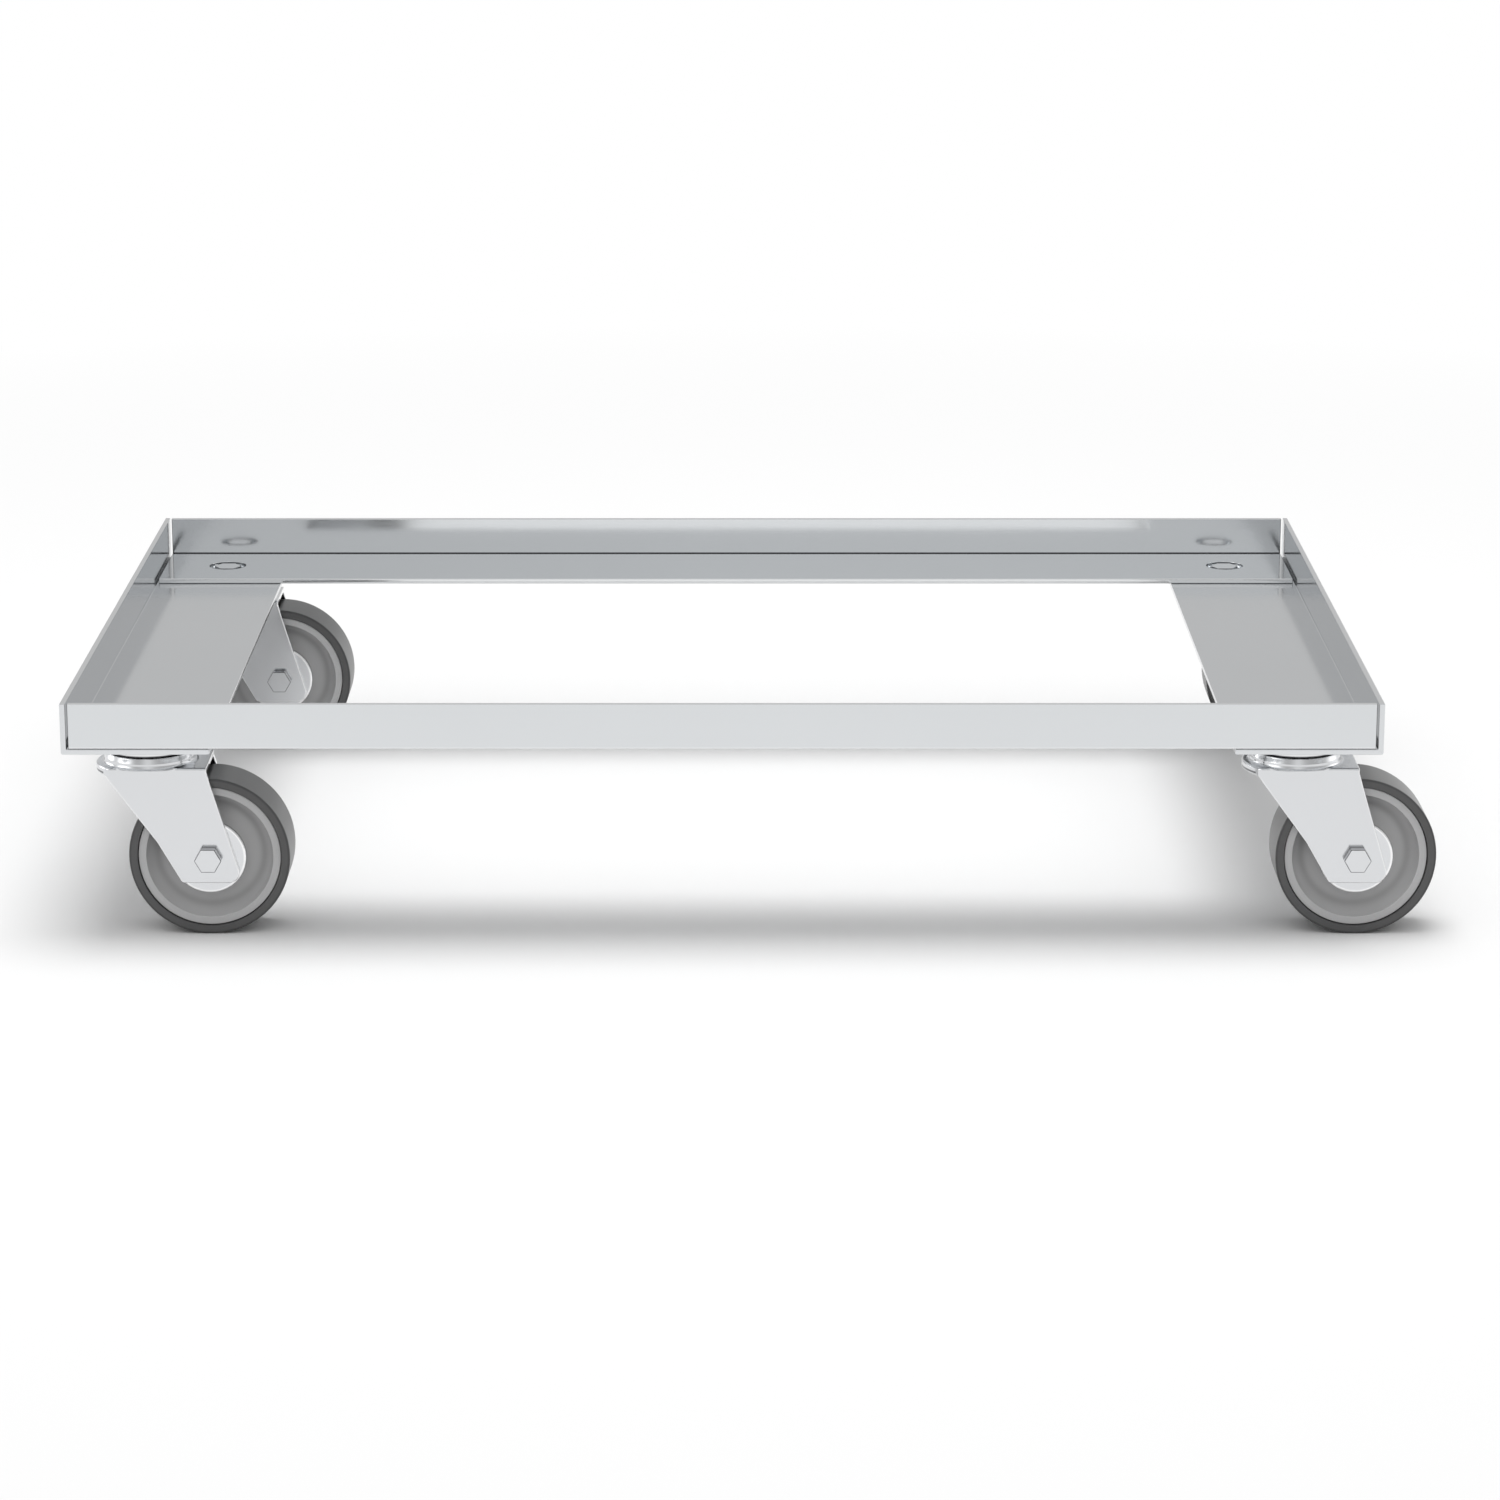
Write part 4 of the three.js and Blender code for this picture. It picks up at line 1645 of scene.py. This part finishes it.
@dataclass
class SwivelHead:
    """What stays with the frame on a swivel axis: cup, kingpin, bolt, washer and nut.

    Values in under, top and end are heights above the floor.
    """

    layout: Layout
    ease: float = 0.2
    play: float = 0.3
    cup_radius: float = 20.7
    cup_wall: float = 2.5
    cup_plate: float = 2.0
    cup_depth: float = 4.7
    cup_bend: float = 1.8
    cup_inner_bend: float = 1.2
    cup_lip: float = 1.2
    cup_lip_bend: float = 0.9
    cup_lip_inner_bend: float = 0.5
    # Painted shade on the cup's lip, over the gap above the dish's rim.
    cup_shade: float = 0.6
    cup_shade_mark: float = -0.85
    pin_radius: float = 6.0
    pin_neck: float = 5.0
    pin_head: float = 10.0
    pin_head_under: float = 80.7
    pin_head_top: float = 83.2
    pin_head_bend: float = 1.2
    pin_top_bend: float = 0.5
    pin_root: float = 0.3
    washer_radius: float = 7.0
    washer_edge: float = 0.3
    washer_under: float = 79.1
    nut_flats: float = 10.0
    nut_under: float = 74.1
    bolt_end: float = 73.1
    bolt_flats: float = 12.2
    bolt_head: float = 2.3
    bolt_thread: float = 8.0
    bolt_bevel: float = 0.15
    # Painted shade outlines the mount bolt's head, and its top is drawn a little darker.
    bolt_bevel_shade_mark: float = -0.4
    bolt_top_mark: float = -0.12
    bolt_flange: Flange = Flange(7.5, 0.45, 0.2)

    def cup(self) -> Skin:
        """The upper race cup, a plate with a rim turned down over the balls.

        Its lip carries painted shade.

        Returns:
            A closed surface.
        """
        top, plate = self.layout.under_frame, self.layout.under_frame - self.cup_plate
        rim = self.layout.under_frame - self.cup_depth
        inner, outer, hole = self.cup_radius - self.cup_wall, self.cup_radius, self.pin_neck + self.play
        cup = ring([
            Corner(hole, plate, self.ease),
            Corner(inner, plate, self.cup_inner_bend),
            Corner(inner, rim, self.cup_lip_inner_bend),
            Corner(outer, rim, self.cup_lip_bend),
            Corner(outer, rim + self.cup_lip),
            Corner(outer, top, self.cup_bend),
            Corner(hole, top, self.ease),
        ], Axis.Z, sides=112, steps=6)
        return cup.marked(lambda at: np.where(at[:, 2] < rim + self.cup_shade, self.cup_shade_mark, 0.0))

    def kingpin(self) -> Skin:
        """The hollow headed rivet that the fork turns on.

        Returns:
            A closed surface.
        """
        plate, top = self.layout.under_frame - self.cup_plate, self.layout.under_frame
        bore = self.layout.bolt_hole
        return ring([
            Corner(bore, self.pin_head_under, self.ease),
            Corner(self.pin_head, self.pin_head_under, self.pin_head_bend),
            Corner(self.pin_head, self.pin_head_top, self.pin_top_bend),
            Corner(self.pin_radius, self.pin_head_top, self.pin_root),
            Corner(self.pin_radius, plate, self.ease),
            Corner(self.pin_neck, plate, self.ease),
            Corner(self.pin_neck, top, self.ease),
            Corner(bore, top, self.ease),
        ], Axis.Z, sides=72, steps=5)

    def washer(self) -> Skin:
        """The plain washer above the nut.

        Returns:
            A closed surface.
        """
        inner = Corner(self.layout.bolt_hole, self.washer_under, self.ease)
        outer = Corner(self.washer_radius, self.pin_head_under, self.washer_edge)
        return tube(inner, outer, Axis.Z, sides=64, steps=4)

    def bolt(self) -> Skin:
        """The mounting bolt, its low flanged head sunk in the rail and its seat on the side angle.

        Returns:
            A closed surface.
        """
        seat = self.layout.under_frame + self.layout.frame_sheet
        return HexBolt(
            self.bolt_flats,
            self.bolt_head,
            seat - self.bolt_end,
            self.bolt_thread,
            flange=self.bolt_flange,
            bevel=self.bolt_bevel,
            bevel_shade_mark=self.bolt_bevel_shade_mark,
            top_mark=self.bolt_top_mark,
        ).skin(Axis.Z).moved(z=seat)

    def nut(self) -> Skin:
        """The nut below the washer."""
        nut = HexNut(self.nut_flats, self.washer_under - self.nut_under, self.layout.bolt_hole)
        return nut.skin(Axis.Z).moved(z=self.nut_under)


@dataclass
class BallRing:
    """The ring of balls in its flat cage."""

    layout: Layout
    ball: float = 2.4
    count: int = 16
    cage_half_width: float = 1.2
    cage_thickness: float = 0.6
    cage_edge: float = 0.1

    def skin(self) -> Skin:
        """The balls and the cage about the swivel axis.

        A ball's point is its radius times the cosine of the latitude across, and times the sine
        of the latitude up.

        Returns:
            Closed surfaces, one for each ball and one for the cage.
        """
        radius, height = self.layout.race_radius, self.layout.race_height
        half = arc((0, 0), self.ball, -90, 90, steps=14)
        ball = turned(half, Axis.Z, sides=24, closed=False)
        turns = 2 * np.pi * np.arange(self.count) / self.count
        balls = [ball.moved(radius * math.cos(t), radius * math.sin(t), height) for t in turns]
        low = Corner(radius - self.cage_half_width, height - self.cage_thickness / 2, self.cage_edge)
        high = Corner(radius + self.cage_half_width, height + self.cage_thickness / 2, self.cage_edge)
        return Skin.joined([*balls, tube(low, high, Axis.Z, sides=64, steps=2)])


@dataclass
class AxleSet:
    """The axle bolt, its nut, the sleeve and the two thread guards, about the axle.

    The guard is a thin round cover against the inside of a leg, its rim turned in. Its bend takes a
    painted highlight, and its end and lip painted shade, each within a reach of the rim or the leg.
    """

    layout: Layout
    ease: float = 0.2
    flats: float = 11.0
    head: float = 4.5
    nut_height: float = 5.0
    bolt_end: float = 24.0
    bolt_thread: float = 12.0
    sleeve_radius: float = 4.4
    guard_sheet: float = 0.8
    guard_radius: float = 17.5
    guard_rim: float = 1.7
    guard_step: float = 0.4
    guard_slant: float = 0.35
    guard_flat: float = 1.8
    guard_bend: float = 1.1
    guard_inner_bend: float = 0.5
    guard_lip_bend: float = 0.3
    bend_reach: float = 1.3
    bend_highlight_mark: float = 0.8
    end_reach: float = 0.12
    lip_reach: float = 1.2
    shade_mark: float = -0.8

    @property
    def leg_inner(self) -> float:
        """Place of a leg's inner face from the middle of the fork."""
        return self.layout.fork_half_width - self.layout.fork_sheet

    def bolt(self) -> Skin:
        """The bolt, its head on the outer face of the front leg.

        Returns:
            A closed surface.
        """
        shank = self.layout.fork_half_width + self.bolt_end
        bolt = HexBolt(self.flats, self.head, shank, self.bolt_thread).skin(Axis.Y)
        return bolt.moved(y=self.layout.fork_half_width).mirrored_in_y()

    def nut(self) -> Skin:
        """The nut on the outer face of the rear leg."""
        nut = HexNut(self.flats, self.nut_height, self.layout.bolt_hole)
        return nut.skin(Axis.Y).moved(y=self.layout.fork_half_width)

    def sleeve(self) -> Skin:
        """The sleeve that the wheel turns on, between the guards.

        Returns:
            A closed surface.
        """
        reach = self.leg_inner - self.guard_sheet
        inner = Corner(self.layout.bolt_hole, -reach, self.ease)
        outer = Corner(self.sleeve_radius, reach, self.ease)
        return tube(inner, outer, Axis.Y, sides=48, steps=3)

    def far_guard(self) -> Skin:
        """The thread guard against the rear leg.

        Returns:
            A closed surface.
        """
        leg, inner, outer = self.leg_inner, self.leg_inner - self.guard_sheet, self.guard_radius
        bore, rim = self.layout.bolt_hole, self.leg_inner - self.guard_rim
        guard = ring([
            Corner(bore, inner, self.ease),
            Corner(outer - self.guard_rim - self.guard_step, inner, self.guard_inner_bend),
            Corner(outer - self.guard_sheet, rim, self.guard_lip_bend),
            Corner(outer, rim, self.guard_lip_bend),
            Corner(outer - self.guard_slant, leg, self.guard_bend),
            Corner(outer - self.guard_flat, leg),
            Corner(bore, leg, self.ease),
        ], Axis.Y, sides=96, steps=5)
        return guard.marked(self._guard_marks)

    def _guard_marks(self, points: np.ndarray) -> np.ndarray:
        """Painted highlight round the bend of the guard's rim, painted shade at its end and lip.

        Args:
            points: Points by three.

        Returns:
            One mark for each point.
        """
        radius = np.hypot(points[:, 0], points[:, 2])
        marks = np.where(radius > self.guard_radius - self.bend_reach, self.bend_highlight_mark, 0.0)
        marks = np.where(radius > self.guard_radius - self.end_reach, self.shade_mark, marks)
        return np.where(np.abs(points[:, 1]) < self.leg_inner - self.lip_reach, self.shade_mark, marks)


@dataclass
class Wheel:
    """The grey plastic wheel core and its rubber tyre, about the axle.

    Half values are half widths along the axle. The core's lock is a ridge round it in a groove of
    the tyre. Reach values say how far a mark goes from the edge that it belongs to.
    """

    radius: float = 37.5
    tyre_half: float = 14.0
    tyre_inner: float = 33.4
    tyre_corner: float = 0.9
    tyre_edge: float = 0.3
    tyre_lead: float = 0.8
    shoulder_lead: float = 0.5
    rim_half: float = 13.0
    rim_inner: float = 29.5
    rim_lead: float = 1.2
    rim_edge: float = 0.35
    rim_play: float = 0.3
    rim_outer_edge: float = 0.3
    rim_outer_lead: float = 0.5
    hub_radius: float = 11.5
    hub_foot: float = 13.5
    hub_half: float = 13.9
    hub_lead: float = 1.0
    hub_draft: float = 0.03
    hub_edge: float = 0.4
    bore: float = 4.8
    bore_edge: float = 0.3
    web_half: float = 2.0
    web_steps: int = 32
    lock_half: float = 5.0
    lock_depth: float = 1.5
    lock_round: float = 0.4
    # Crease values paint soft shade into the crease of the web.
    crease_shade_mark: float = -0.24
    crease_inset: float = 4.7
    crease_width: float = 1.7
    crease_depth: float = 2.0
    # Rim values paint a highlight on the rim ring's outer edge.
    rim_reach: float = 0.7
    rim_mark: float = 0.6
    # Tread, shoulder and joint values place the tyre's painted sheen and painted shade.
    tread_reach: float = 0.5
    shoulder_reach: float = 0.1
    joint_reach: float = 0.35
    tyre_shade_mark: float = -0.5

    def core(self) -> Skin:
        """Hub, dished web and flat rim ring.

        The web's face is a curve from the hub's end out to the rim ring, drawn down to the web.

        Returns:
            A closed surface about the axle.
        """
        outer = self.tyre_inner - self.rim_play
        hub_low, rim_low = self.hub_half - self.hub_lead, self.rim_half - self.rim_lead
        face = curve(
            (self.hub_radius, self.hub_half),
            (self.hub_foot, self.web_half),
            (self.rim_inner, self.web_half),
            (self.rim_inner, self.rim_half),
            steps=self.web_steps,
        )
        rim_end = rounded_outline([
            Corner(self.rim_inner, rim_low),
            Corner(self.rim_inner, self.rim_half, self.rim_edge),
            Corner(outer - self.rim_outer_lead, self.rim_half),
            Corner(outer, self.rim_half, self.rim_outer_edge),
            Corner(outer, self.lock_half),
            Corner(outer + self.lock_depth, 0, self.lock_round),
        ], closed=False, steps=4)
        hub_end = rounded_outline([
            Corner(self.bore, 0),
            Corner(self.bore, self.hub_half, self.bore_edge),
            Corner(self.hub_radius, self.hub_half, self.hub_edge),
            Corner(self.hub_radius + self.hub_draft, hub_low),
        ], closed=False, steps=4)
        face = face[(face[:, 1] < hub_low) & (face[:, 1] < rim_low)]
        upper = np.vstack([hub_end, face, rim_end])
        lower = upper[::-1] * np.array([1, -1])
        core = turned(np.vstack([upper, lower[1:-1]]), Axis.Y, sides=128)
        return core.marked(self._core_marks)

    def _core_marks(self, points: np.ndarray) -> np.ndarray:
        """Painted highlight on the rim ring's outer edge, soft painted shade in the web's crease.

        The ring of painted shade fades as a bell curve of the distance from its radius.

        Args:
            points: Points by three.

        Returns:
            One mark for each point.
        """
        radius = np.hypot(points[:, 0], points[:, 2])
        away = (radius - self.rim_inner + self.crease_inset) / self.crease_width
        crease = self.crease_shade_mark * np.exp(-away ** 2)
        crease = np.where(np.abs(points[:, 1]) < self.rim_half - self.crease_depth, crease, 0)
        return np.where(radius > self.tyre_inner - self.rim_reach, self.rim_mark, crease)

    def tyre(self) -> Skin:
        """The tyre, with an eased corner on each side of its tread.

        Returns:
            A closed surface about the axle.
        """
        half, inner, lock = self.tyre_half, self.tyre_inner, self.lock_half
        side = [
            Corner(inner, half, self.tyre_edge),
            Corner(inner + self.tyre_lead, half),
            Corner(self.radius - self.tyre_corner - self.shoulder_lead, half),
            Corner(self.radius, half, self.tyre_corner),
        ]
        tyre = ring([
            *(Corner(corner.across, -corner.up, corner.radius) for corner in side),
            *side[::-1],
            Corner(inner, lock),
            Corner(inner + self.lock_depth, 0, self.lock_round),
            Corner(inner, -lock),
        ], Axis.Y, sides=144, steps=6)
        return tyre.marked(self._tyre_marks)

    def _tyre_marks(self, points: np.ndarray) -> np.ndarray:
        """Painted sheen on the tread, painted shade at its shoulders and at the joint with the rim.

        Args:
            points: Points by three.

        Returns:
            One mark for each point.
        """
        radius = np.hypot(points[:, 0], points[:, 2])
        inset = self.tyre_half - np.abs(points[:, 1])
        tread = np.clip(inset / self.tyre_corner, 0, 1) * (radius > self.radius - self.tread_reach)
        corner = self.radius - self.tyre_corner - self.shoulder_reach
        shoulder = (inset < self.shoulder_reach) & (radius > corner)
        joint = radius < self.tyre_inner + self.joint_reach
        return np.where(joint | shoulder, self.tyre_shade_mark, tread)


@dataclass
class CasterPiece:
    """One piece of a caster, about its swivel axis, or about its axle for one that trails.

    Smooth is the angle past which an edge shows as sharp. Normals stand in for the mesh's own.
    """

    name: str
    skin: Skin
    finish: Finish
    body: Body
    trails: bool = False
    smooth: float = 35.0
    normals: np.ndarray | None = None


@dataclass
class Casters:
    """The four identical casters, each piece built once and copied to each swivel axis."""

    layout: Layout

    def build(self, finishes: Finishes) -> None:
        """Makes, places and dresses every piece of the four casters.

        Args:
            finishes: The finishes.
        """
        layout = self.layout
        for part in self._parts():
            weld = part.normals is None
            source = make_object(f"{part.name}_pattern", part.skin, part.smooth, weld)
            behind, up = (layout.trail, layout.axle_height) if part.trails else (0, 0)
            for end, side in itertools.product(End, Side):
                corner = f"{end.name}_{side.name}".lower()
                x = layout.middle + side.value * layout.swivel_x + behind
                place = x, end.value * layout.swivel_y, up
                piece = copy_at(source, f"{corner}_{part.name}_piece", place)
                if part.normals is not None:
                    piece.data.normals_split_custom_set_from_vertices(part.normals)
                on_frame = part.body is Body.FRAME
                body = part.body.value if on_frame else f"{corner}_{part.body.value}"
                finishes.dress(piece, part.finish, body, f"{corner}_{part.name}")
            bpy.data.objects.remove(source)

    def _parts(self) -> list[CasterPiece]:
        """The pieces of one caster.

        Returns:
            Each piece, under the name of its node.
        """
        head, axle, wheel = SwivelHead(self.layout), AxleSet(self.layout), Wheel()
        fork, looks = PressedFork(self.layout).skin()
        zinc, bright = Finishes.ZINC, Finishes.BRIGHT
        guard = axle.far_guard()
        return [
            CasterPiece("top_cup", head.cup(), bright, Body.FRAME),
            CasterPiece("kingpin", head.kingpin(), zinc, Body.FRAME),
            CasterPiece("mount_bolt", head.bolt(), bright, Body.FRAME),
            CasterPiece("mount_washer", head.washer(), zinc, Body.FRAME),
            CasterPiece("mount_nut", head.nut(), zinc, Body.FRAME),
            CasterPiece("ball_ring", BallRing(self.layout).skin(), bright, Body.FORK, smooth=40.0),
            CasterPiece("fork", fork, zinc, Body.FORK, smooth=180.0, normals=looks),
            CasterPiece("axle_bolt", axle.bolt(), zinc, Body.FORK, True),
            CasterPiece("axle_nut", axle.nut(), zinc, Body.FORK, True),
            CasterPiece("axle_sleeve", axle.sleeve(), zinc, Body.FORK, True),
            CasterPiece("near_thread_guard", guard.mirrored_in_y(), zinc, Body.FORK, True),
            CasterPiece("far_thread_guard", guard, zinc, Body.FORK, True),
            CasterPiece("wheel_core", wheel.core(), Finishes.PLASTIC, Body.WHEEL, True),
            CasterPiece("tyre", wheel.tyre(), Finishes.RUBBER, Body.WHEEL, True),
        ]


# Studio


@dataclass(frozen=True)
class Glow:
    """A soft bright field: the way to its middle, a power that narrows it, and its level."""

    way: Triple
    power: float
    level: float


@dataclass
class Studio:
    """Floor, lamp, world and camera, in metres.

    The ambient level and the lights light the dolly, and the mirrored ones are what it reflects.
    The floor shows as floor_colour and throws floor_bounce back on to the dolly.
    """

    floor_rings: tuple[float, ...] = (0, 0.5, 1, 3, 9)
    floor_sides: int = 96
    floor_colour: float = 0.8
    floor_bounce: float = 0.5
    floor_near: float = 0.7
    floor_far: float = 1.5
    lamp_height: float = 3.0
    lamp_size: float = 1.9
    lamp_power: float = 50.0
    ambient: float = 0.3
    lights: tuple[Glow, ...] = (Glow((0, -0.25, 0.97), 2, 1.0),)
    mirrored: float = 0.54
    mirrored_lights: tuple[Glow, ...] = (
        Glow((0.03, -0.967, 0.25), 27, 0.42),
        Glow((0.05, 0.967, 0.25), 3, 0.13),
        Glow((-0.9, 0.42, 0.24), 40, 2.0),
        Glow((-0.87, -0.43, 0.24), 22, 2.2),
        Glow((0.9, 0.3, 0.3), 16, 2.0),
        Glow((0, 0, 1), 10, 0.5),
    )
    camera_place: Triple = (-0.0016772, -2.2856925, 0.6476818)
    camera_pitch: float = 14.896
    camera_clip: Spot = (0.05, 60.0)
    sensor_width: float = 36.0
    focal_pixels: float = 4696.9
    image_pixels: float = 1500.0

    def build(self) -> None:
        """Sets up everything that isn't the object."""
        bpy.context.scene.view_settings.view_transform = "Standard"
        self._world()
        self._floor()
        self._lamp()
        self._camera()

    def _world(self) -> None:
        """A white background, and soft bright fields on a plain level for light and reflections."""
        world = bpy.data.worlds.new("studio")
        bpy.context.scene.world = world
        world.use_nodes = True
        tree = Tree(world.node_tree)
        path = tree.make("ShaderNodeLightPath")
        way = tree.make("ShaderNodeTexCoord").out("Generated")
        level = self._fields(tree, way, self.mirrored, self.mirrored_lights)
        light = self._fields(tree, way, self.ambient, self.lights)
        mirrored = path.out("Is Glossy Ray").most(path.out("Is Transmission Ray"))
        grey = mirrored * level + (1 - mirrored) * light
        seen = path.out("Is Camera Ray")
        value = seen + (1 - seen) * grey
        colour = tree.make("ShaderNodeCombineColor", {}, {0: value, 1: value, 2: value}).out(0)
        shone = tree.make("ShaderNodeBackground", {}, {"Color": colour, "Strength": 1.0}).out(0)
        tree.make("ShaderNodeOutputWorld", {}, {"Surface": shone})

    def _fields(self, tree: Tree, way: Socket, plain: float, glows: Sequence[Glow]) -> Socket:
        """A plain level with bright fields on it.

        A field is its level times the cosine of the angle from its middle, raised to its power.

        Args:
            tree: The node tree.
            way: The direction looked in.
            plain: The plain level.
            glows: The fields.

        Returns:
            The sum.
        """
        total: Socket | float = plain
        for glow in glows:
            dot = tree.make("ShaderNodeVectorMath", {"operation": "DOT_PRODUCT"}, {0: way, 1: glow.way})
            cosine = dot.out("Value")
            total = cosine.most(0.0) ** glow.power * glow.level + total
        return total

    def _floor(self) -> None:
        """A pale floor that keeps the shadow, turns plain white far out, and is clear from below."""
        angle = np.linspace(0, 2 * np.pi, self.floor_sides, endpoint=False)
        radii = np.array(self.floor_rings) / METRES
        x, y = radii[:, None] * np.cos(angle), radii[:, None] * np.sin(angle)
        skin = Skin.grid(np.stack([x, y, 0 * x], -1), False, True)
        floor = make_object("studio_floor", skin.facing(len(angle), (0, 0, 1)))
        floor.data.materials.append(self._floor_material())

    def _floor_material(self) -> bpy.types.Material:
        """The floor's material: matt as far as the near radius, and plain white past the far one.

        Returns:
            A new material.
        """
        made, tree = new_material("studio_floor")
        path = tree.make("ShaderNodeLightPath")
        mirrored = path.out("Is Glossy Ray").most(path.out("Is Transmission Ray"))
        seen = path.out("Is Camera Ray").most(mirrored)
        spot = tree.make("ShaderNodeTexCoord").out("Object")
        reach = tree.make("ShaderNodeVectorMath", {"operation": "LENGTH"}, {0: spot}).out("Value")
        share = (reach - self.floor_near) * (1 / (self.floor_far - self.floor_near))
        bounced, shown = shade(EVEN, self.floor_bounce), shade(EVEN, self.floor_colour)
        matt = tree.make("ShaderNodeBsdfDiffuse", {}, {"Color": tree.mix(seen, bounced, shown)}).out(0)
        white = tree.make("ShaderNodeEmission", {}, {"Strength": 1.0}).out(0)
        far = share.most(0.0).least(1.0) * seen
        pale = tree.make("ShaderNodeMixShader", {}, {0: far, 1: matt, 2: white}).out(0)
        clear = tree.make("ShaderNodeBsdfTransparent").out(0)
        below = tree.make("ShaderNodeNewGeometry").out("Backfacing")
        surface = tree.make("ShaderNodeMixShader", {}, {0: below, 1: pale, 2: clear}).out(0)
        tree.make("ShaderNodeOutputMaterial", {}, {"Surface": surface})
        return made

    def _lamp(self) -> None:
        """One large soft lamp straight above, which mirrors don't show."""
        lamp = bpy.data.lights.new("overhead", "AREA")
        lamp.shape = "DISK"
        lamp.size = self.lamp_size
        lamp.energy = self.lamp_power
        made = linked("overhead", lamp)
        made.location = (0, 0, self.lamp_height)
        made.visible_glossy = False

    def _camera(self) -> None:
        """The camera at the photograph's angle."""
        camera = bpy.data.cameras.new("camera")
        camera.sensor_width = self.sensor_width
        camera.lens = self.sensor_width * self.focal_pixels / self.image_pixels
        camera.clip_start, camera.clip_end = self.camera_clip
        made = linked("camera", camera)
        made.location = self.camera_place
        made.rotation_euler = (math.radians(90 - self.camera_pitch), 0, 0)
        bpy.context.scene.camera = made


def main() -> None:
    """Builds the studio and the dolly."""
    logging.basicConfig(level=logging.INFO, format="%(message)s")
    layout = Layout()
    finishes = Finishes()
    Studio().build()
    SheetFrame(layout).build(finishes)
    Casters(layout).build(finishes)


if __name__ == "__main__":
    main()
